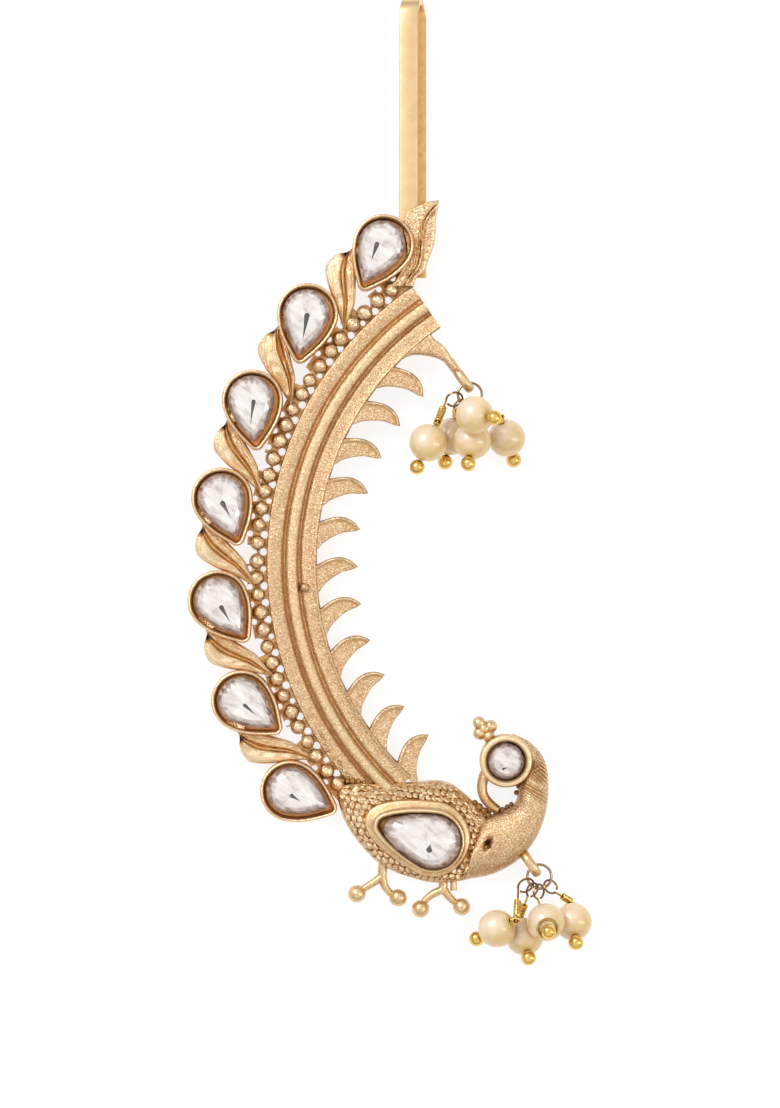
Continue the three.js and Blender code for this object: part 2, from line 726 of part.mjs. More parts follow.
function pearlPlace({ right, up, layer }, ring) {
  const x = ring.x + right * pearlDiameter;
  const y = ring.y + up * pearlDiameter;
  return new THREE.Vector3(x, y, floorUnder(x, y) + pearlDiameter * (0.5 + layer));
}

function pearlSolid(centre, way) {
  const radius = pearlDiameter / 2;
  const arcSteps = 6;
  const firstTurn = Math.asin(pearlBore / 2 / radius);
  const profile = [];
  for (let step = 0; step <= arcSteps; step += 1) {
    const turn = firstTurn + ((Math.PI - 2 * firstTurn) * step) / arcSteps;
    profile.push(new THREE.Vector2(radius * Math.sin(turn), -radius * Math.cos(turn)));
  }
  profile.push(profile[0].clone());
  const geometry = new THREE.LatheGeometry(profile, 12);
  geometry.applyQuaternion(new THREE.Quaternion().setFromUnitVectors(new THREE.Vector3(0, 1, 0), way));
  geometry.translate(centre.x, centre.y, centre.z);
  return solidOf(geometry);
}

function pinSolid({ hang, lean, size }, ring, centre, way) {
  const neckInset = 0.2;
  const radius = pearlDiameter / 2;
  const loop = loopRadius * size;
  const outwards = new THREE.Vector3(...onArc(1, hang).toArray(), 0);
  const sideways = new THREE.Vector3(-outwards.y, outwards.x, 0);
  const leaning = THREE.MathUtils.degToRad(lean);
  const standing = new THREE.Vector3(0, 0, Math.cos(leaning)).addScaledVector(sideways, Math.sin(leaning));
  const hanging = jumpRingRadius + loop - (loopWire + jumpWire) / 2 - linkPlay;
  const eyeCentre = ring.clone().addScaledVector(outwards, hanging);
  const eye = new THREE.TorusGeometry(loop, loopWire / 2, 5, 10);
  eye.applyMatrix4(new THREE.Matrix4().makeBasis(outwards, standing, outwards.clone().cross(standing)));
  eye.translate(eyeCentre.x, eyeCentre.y, eyeCentre.z);
  const back = (distance) => centre.clone().addScaledVector(way, -distance);
  const eyeEnd = eyeCentre.clone().addScaledVector(outwards, loop - loopWire * neckInset);
  const head = centre.clone().addScaledVector(way, radius + pinBallRadius + linkGap / 3);
  return joined([
    ball(head.x, head.y, head.z, pinBallRadius, 4),
    wire([head, back(radius + wrapLength / 2)], pinWire, 1),
    wire([back(radius + linkGap), back(radius + linkGap + wrapLength)], wrapRadius * 2, 1, 7),
    wire([back(radius + wrapLength / 2), back(radius + wrapLength * 1.5), eyeEnd], loopWire, 5),
    solidOf(eye),
  ]);
}

const gilt = { color: "#d9a86c", roughness: 0.45, metalness: 1 };
const brightGilt = { color: "#f0b93a", roughness: 0.25, metalness: 1 };
const crystal = { color: "#e4dfe0", roughness: 0.08, metalness: 0.1 };
const nacre = { color: "#ebd9a0", roughness: 0.3, metalness: 0 };

function addPiece(group, solid, name, look) {
  group.add(meshOf(solid, name, new THREE.MeshStandardMaterial(look)));
}

function addStones(group) {
  const tableShift = 0.16;
  const roundSteps = 7;
  const gap = cupWall + stoneGap;
  for (let cup = 0; cup < cupCount; cup += 1) {
    const angle = firstCup + cup * cupPitch;
    const table = onArc(cupReach * tableShift, cupTurnAt(angle)).add(onArc(cupCircle, angle));
    const outline = cupOutlineAt(angle, gap, roundSteps);
    const solid = cutStone(outline, table, cupFloor + stoneGap, cupHeight + stoneRise);
    addPiece(group, solid, `pear_stone_${cup + 1}`, crystal);
  }
  const table = onArc(bodyCupReach * tableShift, bodyCupTurn).add(bodyCupCentre);
  const outline = bodyCupOutline(bodyCupWall, stoneGap, roundSteps);
  const bodyStone = cutStone(outline, table, bodyCupFloor + stoneGap, bodyCupHeight + stoneRise);
  addPiece(group, bodyStone, "body_stone", crystal);
  const headOutline = placed(roundOutline(headRadius - headWall - stoneGap, 12), headCentre, 0);
  const headStone = cutStone(headOutline, headCentre, headFloor + stoneGap, headHeight + stoneRise);
  addPiece(group, headStone, "head_stone", crystal);
}

function addDrops(group, drops, ring, prefix) {
  const link = new THREE.TorusGeometry(jumpRingRadius, jumpWire / 2, 6, 16);
  link.translate(ring.x, ring.y, ring.z);
  addPiece(group, solidOf(link), `${prefix}_jump_ring`, brightGilt);
  drops.forEach((drop, index) => {
    const centre = pearlPlace(drop, ring);
    const way = new THREE.Vector3(...drop.ball).normalize();
    addPiece(group, pearlSolid(centre, way), `${prefix}_pearl_${index + 1}`, nacre);
    addPiece(group, pinSolid(drop, ring, centre, way), `${prefix}_pin_${index + 1}`, brightGilt);
  });
}

// The whole cuff, leaned from its own frame onto the surface under it
const cuff = new THREE.Group();
const [upperBail, lowerBail] = bails();
addPiece(cuff, castingSolid(), "cuff_casting", gilt);
addStones(cuff);
addDrops(cuff, upperDrops, upperBail.ring, "upper");
addDrops(cuff, lowerDrops, lowerBail.ring, "lower");
cuff.quaternion.setFromUnitVectors(resting.normal, new THREE.Vector3(0, 0, 1));

// The origin is the middle of the foot of its bounding box
const lying = new THREE.Group();
lying.add(cuff);
lying.updateMatrixWorld(true);
const bounds = new THREE.Box3().setFromObject(lying, true);
const middle = bounds.getCenter(new THREE.Vector3());
lying.position.set(-middle.x, -middle.y, -bounds.min.z);

export default lying;
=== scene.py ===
"""The look of a curved ear cuff with a peacock, cut stones and two clusters of pearls."""
import json
import math
import random

import bpy
import numpy as np
from mathutils import Matrix, Vector


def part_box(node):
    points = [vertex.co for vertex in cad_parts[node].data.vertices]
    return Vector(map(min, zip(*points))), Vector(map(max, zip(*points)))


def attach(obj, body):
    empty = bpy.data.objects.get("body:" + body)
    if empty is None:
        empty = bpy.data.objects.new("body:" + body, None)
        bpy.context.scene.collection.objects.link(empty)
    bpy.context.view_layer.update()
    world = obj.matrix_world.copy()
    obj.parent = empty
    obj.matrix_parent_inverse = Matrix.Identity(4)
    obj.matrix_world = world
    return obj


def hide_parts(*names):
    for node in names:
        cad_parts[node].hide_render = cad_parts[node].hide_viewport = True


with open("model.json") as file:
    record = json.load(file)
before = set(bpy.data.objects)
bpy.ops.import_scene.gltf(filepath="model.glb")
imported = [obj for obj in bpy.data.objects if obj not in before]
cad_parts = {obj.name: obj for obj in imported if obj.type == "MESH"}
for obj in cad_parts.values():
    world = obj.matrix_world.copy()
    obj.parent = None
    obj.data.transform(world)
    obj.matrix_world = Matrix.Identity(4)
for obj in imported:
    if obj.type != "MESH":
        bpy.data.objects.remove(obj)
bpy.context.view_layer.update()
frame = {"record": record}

# Places are given in millimetres in the cuff's own frame, as it is drawn: its back is z = 0, its front
# faces +Z, the centre of the ear is the origin, and angles turn counter-clockwise from +X in degrees.
MM = 0.001

# The band and its stud
RIB_RADIUS = 31.0
INNER_EDGE = 28.5
OUTER_EDGE = 33.5
BAND_TOP = 124.5
BAND_BOTTOM = 227.0
STUD_ANGLE = 184.7
STUD_INSET = 1.3
STUD_RADIUS = 0.48

# The barbs
BARB_COUNT = 11
FIRST_BARB = 136.9
BARB_PITCH = 8.75
BARB_REACH = 4.1
BARB_WIDTH = 3.3
BARB_THICKNESS = 1.1

# The cups and stones
CUP_COUNT = 7
FIRST_CUP = 124.6
CUP_PITCH = 15.25
CUP_CIRCLE = 38.5
CUP_RADIUS = 3.05
CUP_REACH = 5.0
CUP_HEIGHT = 2.4
CUP_TURN = 120.0
STONE_RADIUS = 2.33
STONE_REACH = 4.2
STONE_FOOT = 0.95
STONE_TOP = 2.5
STONE_SEED = 40

# The granules
GRANULE_COUNT = 34
GRANULE_CIRCLE = 34.46
GRANULE_PITCH = 2.876
GRANULE_RADIUS = 0.76
GALLERY_THICKNESS = 0.7
GALLERY_EDGE = 35.5
TIP_HOLE = 0.95
HOLE_RADIUS = 0.38
SMALL_HOLE = 0.28
NOTCH_RADIUS = 0.3
GRANULE_START = FIRST_CUP + 0.3

# The peacock
BODY_CUP = (-16.95, -27.42)
BODY_CUP_RADIUS = 3.7
BODY_CUP_REACH = 7.0
BODY_CUP_TURN = 161.4
BODY_CUP_HEIGHT = 3.0
BODY_CUP_BLUNT = 1.8
BODY_EDGE = 1.1
SEAT_HEIGHT = 1.3
BODY_THICKNESS = 2.3
HEAD = (-9.65, -19.7)
HEAD_STONE_RADIUS = 1.8
HEAD_STONE_FOOT = 1.5
HEAD_STONE_TOP = 2.85
HEAD_STONE_SEED = 91
CREST_RADIUS = 0.66
FOOT_BALL_RADIUS = 0.88

# The drops
PEARL_RADIUS = 1.875
PIN_BALL_RADIUS = 0.76
JUMP_RADIUS = 1.2
JUMP_WIRE = 0.4


def polar(radius, degrees):
    turn = math.radians(degrees)
    return np.array((radius * math.cos(turn), radius * math.sin(turn)))


def cuff_matrix():
    """Takes the cuff's own millimetres to the frame's metres, from the mount on the band's back."""
    back = frame["record"]["mounts"][0]
    lean = Vector((0, 0, 1)).rotation_difference(-Vector(back["axis"]))
    mount = polar(RIB_RADIUS, 176.0) * MM
    origin = Vector(back["pos_m"]) - lean @ Vector((mount[0], mount[1], 0))
    return Matrix.Translation(origin) @ lean.to_matrix().to_4x4() @ Matrix.Scale(MM, 4)


CUFF = cuff_matrix()
TO_CUFF = CUFF.inverted()


def centre_of(node):
    """The middle of a CAD node's box, in the cuff's own millimetres."""
    low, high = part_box(node)
    return np.array(TO_CUFF @ ((low + high) / 2))


# Smooth lines and outlines

def smooth(points, count, closed=False):
    """A smooth line through a few points, sampled evenly by length."""
    points = np.asarray(points, float)
    if closed:
        guides = np.vstack([points[-1:], points, points[:2]])
    else:
        guides = np.vstack([2 * points[0] - points[1], points, 2 * points[-1] - points[-2]])
    steps = np.linspace(0, 1, 16, endpoint=False)[:, None]
    spans = []
    for before, start, end, after in zip(guides, guides[1:], guides[2:], guides[3:]):
        spans.append(0.5 * (
            2 * start + (end - before) * steps
            + (2 * before - 5 * start + 4 * end - after) * steps ** 2
            + (3 * start - before - 3 * end + after) * steps ** 3))
    line = np.vstack(spans + [points[:1] if closed else points[-1:]])
    lengths = np.concatenate([[0], np.cumsum(np.linalg.norm(np.diff(line, axis=0), axis=1))])
    wanted = np.linspace(0, lengths[-1], count, endpoint=not closed)
    return np.column_stack([np.interp(wanted, lengths, line[:, axis]) for axis in range(line.shape[1])])


def pear(radius, reach, inset=0.0, blunt=0.0, round_steps=36, side_steps=14):
    """A pear's outline with its round centre at the origin and its point on +X.

    The point is rounded by a radius of blunt; inset is how far inside that outline this one lies."""
    core_radius = radius - blunt
    core_reach = reach - blunt
    grow = blunt - inset
    shoulder = 78.0
    arc = [polar(core_radius + grow, shoulder + (360 - 2 * shoulder) * k / round_steps)
           for k in range(round_steps + 1)]
    start = polar(core_radius, -shoulder)
    tip = np.array((core_reach, 0.0))
    leaving = start + polar(core_radius * 0.75, 90 - shoulder)
    arriving = tip + polar(core_reach * 0.3, 220)
    side = []
    for k in range(1, side_steps + 1):
        t = k / side_steps
        place = ((1 - t) ** 3 * start + 3 * (1 - t) ** 2 * t * leaving
                 + 3 * (1 - t) * t ** 2 * arriving + t ** 3 * tip)
        way = ((1 - t) ** 2 * (leaving - start) + 2 * (1 - t) * t * (arriving - leaving)
               + t ** 2 * (tip - arriving))
        out = np.array((way[1], -way[0])) / np.linalg.norm(way)
        side.append(place + grow * out)
    last = math.degrees(math.atan2(out[1], out[0]))
    point = [tip + polar(grow, last * share) for share in (0.67, 0.33, 0.0)]
    below = side + point[:2]
    mirrored = [place * (1, -1) for place in below[::-1]]
    return np.array(arc + below + point[2:] + mirrored)


def column(table, index):
    return np.array([row[index] for row in table])


def circle(sides, radius=1.0):
    return np.array([polar(radius, 360 * side / sides) for side in range(sides)])


def turned(outline, centre, degrees):
    turn = math.radians(degrees)
    spin = np.array([[math.cos(turn), math.sin(turn)], [-math.sin(turn), math.cos(turn)]])
    return outline @ spin + np.asarray(centre)


def along_arc(angle, radius, count=2):
    return np.array([polar(radius, degrees) for degrees in np.linspace(angle[0], angle[1], count)])


def jitter(row, place, salt):
    """A steady pseudo-random number from -0.5 to 0.5 for each copy in a row."""
    value = np.sin(row * 127.1 + place * 311.7 + salt * 74.7) * 43758.5453
    return value - np.floor(value) - 0.5


def rough(plan, pitch):
    """An uneven cast surface: soft lumps and pits from -1 to 1, about a pitch apart."""
    x, y = plan[..., 0] / pitch, plan[..., 1] / pitch
    return np.sin(x * 2.9 + 1.7 * np.sin(y * 1.3)) * np.sin(y * 3.1 + 1.9 * np.sin(x * 1.1))


# Meshes

class Shell:
    """Points and faces of one piece, with each point's painted shading (painted shade above zero, painted
    highlight below zero, and some tarnish) and a tone for each face, which the stones use as painted
    reflection.
    """

    def __init__(self):
        self.points = []
        self.faces = []
        self.painted_shading_and_tarnish = []
        self.tones = []

    def add(self, points, faces, painted_shading_and_tarnish=0.0, tones=1.0):
        start = len(self.points)
        points = np.asarray(points, float)
        self.points.extend(points.tolist())
        self.faces.extend([[start + corner for corner in face] for face in faces])
        self.painted_shading_and_tarnish.extend(np.broadcast_to(painted_shading_and_tarnish, len(points)).tolist())
        self.tones.extend(np.broadcast_to(tones, len(faces)).tolist())

    def piece(self, name, material, slot, nodes, sharp=35.0):
        """Makes the object, in the frame's metres, riding on the one body."""
        mesh = bpy.data.meshes.new(name)
        placed = [CUFF @ Vector(point) for point in self.points]
        mesh.from_pydata(placed, [], self.faces)
        # The attribute holds painted shade above zero and a painted highlight below zero, with some real
        # tarnish.
        painted_shading_and_tarnish = mesh.attributes.new("painted_shading_and_tarnish", "FLOAT", "POINT")
        painted_shading_and_tarnish.data.foreach_set("value", self.painted_shading_and_tarnish)
        tone = mesh.attributes.new("tone", "FLOAT", "FACE")
        tone.data.foreach_set("value", self.tones)
        mesh.validate()
        mesh.shade_smooth()
        mesh.set_sharp_from_angle(angle=math.radians(sharp))
        mesh.materials.append(material)
        thing = bpy.data.objects.new(name, mesh)
        bpy.context.scene.collection.objects.link(thing)
        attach(thing, "root")
        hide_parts(*nodes)
        return thing


def loft(shell, rings, painted_shading_and_tarnish=0.0, closed=False, tones=1.0):
    """A skin over rings of as many points each; open lofts get a flat cap at each end."""
    rings = np.asarray(rings, float)
    count, sides = rings.shape[:2]
    faces = []
    for ring in range(count if closed else count - 1):
        after = (ring + 1) % count
        for side in range(sides):
            next_side = (side + 1) % sides
            faces.append([ring * sides + side, ring * sides + next_side,
                          after * sides + next_side, after * sides + side])
    if not closed:
        faces.append(list(range(sides))[::-1])
        faces.append([(count - 1) * sides + side for side in range(sides)])
    if np.ndim(painted_shading_and_tarnish) == 1:
        painted_shading_and_tarnish = np.repeat(painted_shading_and_tarnish, sides)
    elif np.ndim(painted_shading_and_tarnish) == 2:
        painted_shading_and_tarnish = np.ravel(painted_shading_and_tarnish)
    shell.add(rings.reshape(-1, 3), faces, painted_shading_and_tarnish, tones)


def levels(outlines, heights):
    """Rings at the heights given, one flat outline each."""
    return [np.column_stack([outline, np.full(len(outline), height)])
            for outline, height in zip(outlines, heights)]


def tube(shell, line, radius, sides=10, painted_shading_and_tarnish=0.0, closed=False):
    """A round wire along a line in space; the radius may differ from point to point."""
    line = np.asarray(line, float)
    radii = np.broadcast_to(radius, len(line))
    if closed:
        heading = np.roll(line, -1, 0) - np.roll(line, 1, 0)
    else:
        heading = np.gradient(line, axis=0)
    heading /= np.linalg.norm(heading, axis=1)[:, None]
    side = np.cross(heading[0], (0.31, 0.17, 0.93))
    turns = np.linspace(0, 2 * math.pi, sides, endpoint=False)
    rings = []
    for centre, way, thick in zip(line, heading, radii):
        side = side - way * (side @ way)
        side /= np.linalg.norm(side)
        other = np.cross(way, side)
        rings.append(centre + thick * (np.cos(turns)[:, None] * side + np.sin(turns)[:, None] * other))
    loft(shell, rings, painted_shading_and_tarnish, closed)


def ball(shell, centre, radius, down=10, sides=16, shade_below=0.0, axis=(0, 0, 1), painted_shading_and_tarnish=0.0):
    """A ball of quads and triangles whose pole is on the axis; its lower part may get painted shade."""
    pole = Vector(axis).normalized()
    spin = np.array(Vector((0, 0, 1)).rotation_difference(pole).to_matrix())
    points = [(0, 0, -1.0)]
    for row in range(1, down):
        turn = math.pi * row / down
        for side in range(sides):
            points.append((*(polar(math.sin(turn), 360 * side / sides)), -math.cos(turn)))
    points.append((0, 0, 1.0))
    last = len(points) - 1
    faces = [[0, 1 + (side + 1) % sides, 1 + side] for side in range(sides)]
    for row in range(down - 2):
        for side in range(sides):
            here = 1 + row * sides + side
            beside = 1 + row * sides + (side + 1) % sides
            faces.append([here, beside, beside + sides, here + sides])
    top = 1 + (down - 2) * sides
    faces += [[last, top + side, top + (side + 1) % sides] for side in range(sides)]
    points = np.array(points) @ spin.T
    # Painted shade: the given amount all over, and more on the lower part.
    darkening = painted_shading_and_tarnish + shade_below * np.clip(0.45 - points[:, 2], 0, 1)
    shell.add(points * radius + np.asarray(centre), faces, darkening)


def rounding(distance, bevel):
    """How far a rounded edge lies under the flat beside it, at a distance from that edge."""
    share = np.clip(distance / np.maximum(bevel, 1e-6), 0, 1)
    return bevel * (1 - np.sqrt(1 - (1 - share) ** 2))


def strip(shell, left, right, top, bevel=0.15, across=14, base=0.0, relief=None):
    """A cast strip with a flat back between two edge lines of as many points each.

    relief gives (rise, painted shading and tarnish) over it, from the shares across and along, the width and
    the plan; the sides get painted shade."""
    left, right = np.asarray(left, float), np.asarray(right, float)
    count = len(left)
    share = (1 - np.cos(np.linspace(0, math.pi, across)))[None, :] / 2
    along = np.linspace(0, 1, count)[:, None]
    width = np.linalg.norm(right - left, axis=1)[:, None]
    edge = np.minimum(share, 1 - share) * width
    height = np.broadcast_to(top, count)[:, None] - rounding(edge, np.minimum(bevel, width / 2))
    painted_shading_and_tarnish = np.zeros_like(height)
    plan = left[:, None, :] * (1 - share[..., None]) + right[:, None, :] * share[..., None]
    if relief:
        rise, painted_shading_and_tarnish = relief(share, along, width, plan)
        height = height + rise
        painted_shading_and_tarnish = painted_shading_and_tarnish + np.zeros_like(height)
    surface = np.concatenate([plan, height[..., None]], axis=2)
    low_left = np.column_stack([left, np.full(count, base)])[:, None, :]
    low_right = np.column_stack([right, np.full(count, base)])[:, None, :]
    rings = np.concatenate([low_left, surface, low_right], axis=1)
    # Painted shade down both sides.
    side_shade = np.full((count, 1), 0.35)
    loft(shell, rings[:, ::-1], np.concatenate([side_shade, painted_shading_and_tarnish, side_shade], axis=1)[:, ::-1])


def ridge(distance, width):
    """A smooth raised line, 1 on it and 0 at its width's edge."""
    return np.exp(-(distance / (width / 2)) ** 2)


# Materials

class Graph:
    """A few short forms for building a material from nodes."""

    def __init__(self, name):
        self.material = bpy.data.materials.new(name)
        self.material.use_nodes = True
        self.tree = self.material.node_tree
        self.shader = self.tree.nodes["Principled BSDF"]

    def node(self, kind, settings=(), **inputs):
        made = self.tree.nodes.new(kind)
        for key, value in dict(settings).items():
            setattr(made, key, value)
        for key, value in inputs.items():
            self.put(made.inputs[key.replace("_", " ")], value)
        return made

    def put(self, socket, value):
        if isinstance(value, bpy.types.NodeSocket):
            self.tree.links.new(value, socket)
        else:
            socket.default_value = value

    def attribute(self, name):
        return self.node("ShaderNodeAttribute", {"attribute_name": name}).outputs["Fac"]

    def place(self):
        return self.node("ShaderNodeTexCoord").outputs["Object"]

    def noise(self, size_mm, detail=2.0, roughness=0.5, turn=0.0, stretch=1.0):
        """Soft noise, drawn out along a line that is turned from +X about Z."""
        place = self.place()
        if stretch != 1.0:
            placed = self.node("ShaderNodeMapping", {"vector_type": "TEXTURE"}, Vector=place,
                               Rotation=(0, 0, math.radians(turn)), Scale=(stretch, 1.0, 1.0))
            place = placed.outputs["Vector"]
        return self.node("ShaderNodeTexNoise", Vector=place, Scale=1 / (size_mm * MM),
                         Detail=detail, Roughness=roughness).outputs["Fac"]

    def math(self, operation, first, second=0.0, clamp=False):
        made = self.tree.nodes.new("ShaderNodeMath")
        made.operation = operation
        made.use_clamp = clamp
        self.put(made.inputs[0], first)
        self.put(made.inputs[1], second)
        return made.outputs[0]

    def fit(self, value, low, high, to_low=0.0, to_high=1.0):
        made = self.node("ShaderNodeMapRange", Value=value)
        for key, number in (("From Min", low), ("From Max", high), ("To Min", to_low), ("To Max", to_high)):
            made.inputs[key].default_value = number
        return made.outputs["Result"]

    def mix(self, share, first, second, blend="MIX"):
        made = self.tree.nodes.new("ShaderNodeMix")
        made.data_type = "RGBA"
        made.blend_type = blend
        self.put(made.inputs[0], share)
        self.put(made.inputs[6], first)
        self.put(made.inputs[7], second)
        return made.outputs[2]

    def bump(self, height, distance_mm):
        made = self.node("ShaderNodeBump", Height=height, Distance=distance_mm * MM, Strength=1.0)
        return made.outputs["Normal"]

    def finish(self, **inputs):
        for key, value in inputs.items():
            self.put(self.shader.inputs[key.replace("_", " ")], value)
        return self.material


def recesses(g, reach_mm=0.5):
    """How deep a point lies in a recess, from 0 on open metal to 1 in a narrow gap; the materials paint
    shade with it, and on the pearls a reflection of the gilt.
    """
    made = g.node("ShaderNodeAmbientOcclusion", {"samples": 6}, Distance=reach_mm * MM)
    return g.math("SUBTRACT", 1.0, made.outputs["AO"], clamp=True)


# BRIGHT lights the stipple's speckles and is the painted highlight's colour; AMBER darkens its grains and,
# with DEEP, gives the painted shade, which stands also for patina.
BRIGHT = (0.97, 0.78, 0.49, 1)
AMBER = (0.50, 0.26, 0.09, 1)
DEEP = (0.10, 0.042, 0.016, 1)


def cast_gilt(name, light, warm, amber=AMBER, contrast=0.5, grain=0.2, relief=0.05, roughness=0.4,
              recess_darkness=0.8):
    """Matte antique gilding: mottled and finely stippled, amber to brown with painted shade in recesses and
    where the mesh paints it, which stands also for patina, and lighter with a painted highlight where the
    mesh paints one.
    """
    g = Graph(name)
    cloud = g.fit(g.noise(1.3, 3.0), 0.38, 0.62)
    grains = g.math("ADD", g.math("MULTIPLY", g.noise(grain, 1.0), 0.55),
                    g.math("MULTIPLY", g.noise(grain * 0.5, 1.0), 0.45))
    base = g.mix(cloud, light, warm)
    dark = g.mix(g.fit(grains, 0.53, 0.4, 0.0, contrast), base, amber)
    speckled = g.mix(g.fit(grains, 0.52, 0.64, 0.0, contrast), dark, BRIGHT)
    # Painted shade in recesses, from ambient occlusion; it stands also for patina in the hollows.
    recess_shade = g.fit(recesses(g), 0.25, 0.95, 0.0, recess_darkness)
    painted = g.math("MULTIPLY", g.attribute("painted_shading_and_tarnish"), 0.9)
    patchy = g.fit(g.noise(0.5, 2.0), 0.4, 0.7, -0.1, 0.1)
    painted_shading_and_tarnish = g.math("ADD", g.math("MAXIMUM", recess_shade, painted), patchy, clamp=True)
    # Below zero the attribute is a painted highlight, mixed towards BRIGHT.
    painted_highlight = g.fit(g.attribute("painted_shading_and_tarnish"), 0.0, -1.0)
    warmed = g.mix(g.fit(painted_shading_and_tarnish, 0.0, 0.55), g.mix(painted_highlight, speckled, BRIGHT), amber)
    color = g.mix(g.fit(painted_shading_and_tarnish, 0.5, 1.0), warmed, DEEP)
    rough = g.fit(painted_shading_and_tarnish, 0.0, 1.0, roughness, 0.6)
    return g.finish(Base_Color=color, Metallic=1.0, Roughness=rough, Normal=g.bump(grains, relief))


def bright_gilt(name, light, deep, roughness=0.16):
    g = Graph(name)
    cloud = g.fit(g.noise(0.5, 2.0), 0.3, 0.7, 0.0, 0.3)
    # Painted shade: darker in recesses and where the mesh paints shade.
    painted_shading_and_tarnish = g.math("MAXIMUM", g.attribute("painted_shading_and_tarnish"), g.fit(recesses(g, 0.35), 0.3, 0.9, 0.0, 0.8))
    color = g.mix(g.math("ADD", painted_shading_and_tarnish, cloud, clamp=True), light, deep)
    return g.finish(Base_Color=color, Metallic=1.0, Roughness=roughness, Normal=g.bump(g.noise(0.25), 0.01))


def crystal(name):
    """A foil-backed cut stone: each facet's tone is a painted reflection, veined with soft painted
    reflections, with painted shade where the mesh gives it, at the girdle.
    """
    g = Graph(name)
    tone = g.attribute("tone")
    vein = g.fit(g.noise(0.45, 3.0, 0.55, -35.0, 3.5), 0.36, 0.64, -0.13, 0.13)
    # Tone and vein are painted reflections; the attribute takes away painted shade at the girdle.
    shade = g.math("SUBTRACT", g.math("ADD", tone, vein), g.math("MULTIPLY", g.attribute("painted_shading_and_tarnish"), 0.45))
    steps = g.node("ShaderNodeValToRGB", Fac=shade)
    stops = steps.color_ramp.elements
    stops[0].position = 0.03
    stops[0].color = (0.045, 0.045, 0.04, 1)
    stops[1].position = 0.98
    stops[1].color = (0.80, 0.77, 0.75, 1)
    for position, color in ((0.3, (0.27, 0.21, 0.18, 1)), (0.55, (0.50, 0.43, 0.42, 1)),
                            (0.75, (0.69, 0.64, 0.62, 1))):
        stops.new(position).color = color
    return g.finish(Base_Color=steps.outputs["Color"], Metallic=0.1, Roughness=0.16, IOR=1.55,
                    Coat_Weight=0.8, Coat_Roughness=0.03)


def pearl_coat(name):
    """Cream lacquer over a bead, with a painted pinkish highlight on the side towards the key light, warmer
    with painted shade on the far side, and a painted reflection of the gilt beside it.
    """
    g = Graph(name)
    cloud = g.fit(g.noise(1.1, 2.0), 0.35, 0.65)
    color = g.mix(cloud, (0.66, 0.50, 0.23, 1), (0.69, 0.54, 0.29, 1))
    uneven = g.fit(g.noise(0.9, 1.0), 0.4, 0.6, -0.15, 0.15)
    # A painted highlight where the mesh marks the side facing the key light.
    pearl_highlight = g.fit(g.math("ADD", g.attribute("painted_shading_and_tarnish"), uneven), 0.0, -1.0)
    color = g.mix(pearl_highlight, color, (0.82, 0.70, 0.57, 1))
    # near: painted shade on the far side, darker at the drill mouths, and a painted warm reflection of the
    # gilt in recesses.
    near = g.math("MAXIMUM", g.attribute("painted_shading_and_tarnish"), g.fit(recesses(g, 0.9), 0.2, 0.95, 0.0, 0.75))
    color = g.mix(near, color, (0.66, 0.42, 0.12, 1))
    return g.finish(Base_Color=color, Metallic=0.0, Roughness=0.35, Subsurface_Weight=0.5,
                    Subsurface_Radius=(0.6, 0.35, 0.15), Subsurface_Scale=0.001, Specular_IOR_Level=0.6,
                    Coat_Weight=0.85, Coat_IOR=1.75, Coat_Roughness=0.24, Coat_Tint=(1.0, 0.95, 0.9, 1),
                    Sheen_Weight=0.7, Sheen_Roughness=0.35, Sheen_Tint=(0.96, 0.7, 0.33, 1),
                    Normal=g.bump(g.noise(0.8), 0.02))


GILT = cast_gilt("antique_gilt", (0.60, 0.43, 0.27, 1), (0.55, 0.36, 0.23, 1),
                 contrast=0.65, relief=0.09)
CUP_GILT = cast_gilt("cup_gilt", (0.74, 0.55, 0.35, 1), (0.68, 0.47, 0.28, 1), (0.78, 0.36, 0.11, 1),
                     contrast=0.45, grain=0.3, relief=0.07, roughness=0.34, recess_darkness=0.4)
SMOOTH_GILT = cast_gilt("smooth_gilt", (0.80, 0.60, 0.36, 1), (0.74, 0.50, 0.28, 1),
                        contrast=0.3, relief=0.04, roughness=0.32)
LEAF_GILT = cast_gilt("leaf_gilt", (0.85, 0.70, 0.48, 1), (0.77, 0.60, 0.39, 1), (0.62, 0.35, 0.14, 1),
                      contrast=0.35, relief=0.04, roughness=0.36, recess_darkness=0.35)
FINIAL_GILT = cast_gilt("finial_gilt", (0.68, 0.53, 0.36, 1), (0.62, 0.44, 0.30, 1),
                        contrast=0.8, grain=0.25, relief=0.14)
GRANULE_GILT = cast_gilt("granule_gilt", (0.84, 0.66, 0.44, 1), (0.76, 0.55, 0.36, 1),
                         contrast=0.4, grain=0.4, relief=0.14, roughness=0.34, recess_darkness=1.0)
CLIP_GILT = cast_gilt("clip_gilt", (0.84, 0.62, 0.36, 1), (0.80, 0.56, 0.31, 1), (0.72, 0.38, 0.12, 1),
                      contrast=0.08, grain=0.5, relief=0.004, roughness=0.32, recess_darkness=0.4)
BALL_GILT = bright_gilt("bright_gilt", (0.92, 0.60, 0.17, 1), (0.22, 0.12, 0.05, 1))
# WIRE_GILT is a darker copy of the bright gilt, painted shade for the jump rings' wire.
WIRE_GILT = bright_gilt("wire_gilt", (0.50, 0.36, 0.22, 1), (0.20, 0.13, 0.08, 1), 0.28)
CRYSTAL = crystal("crystal")
PEARL = pearl_coat("pearl")
CASTING = ("antique_gilt", ["cuff_casting"])


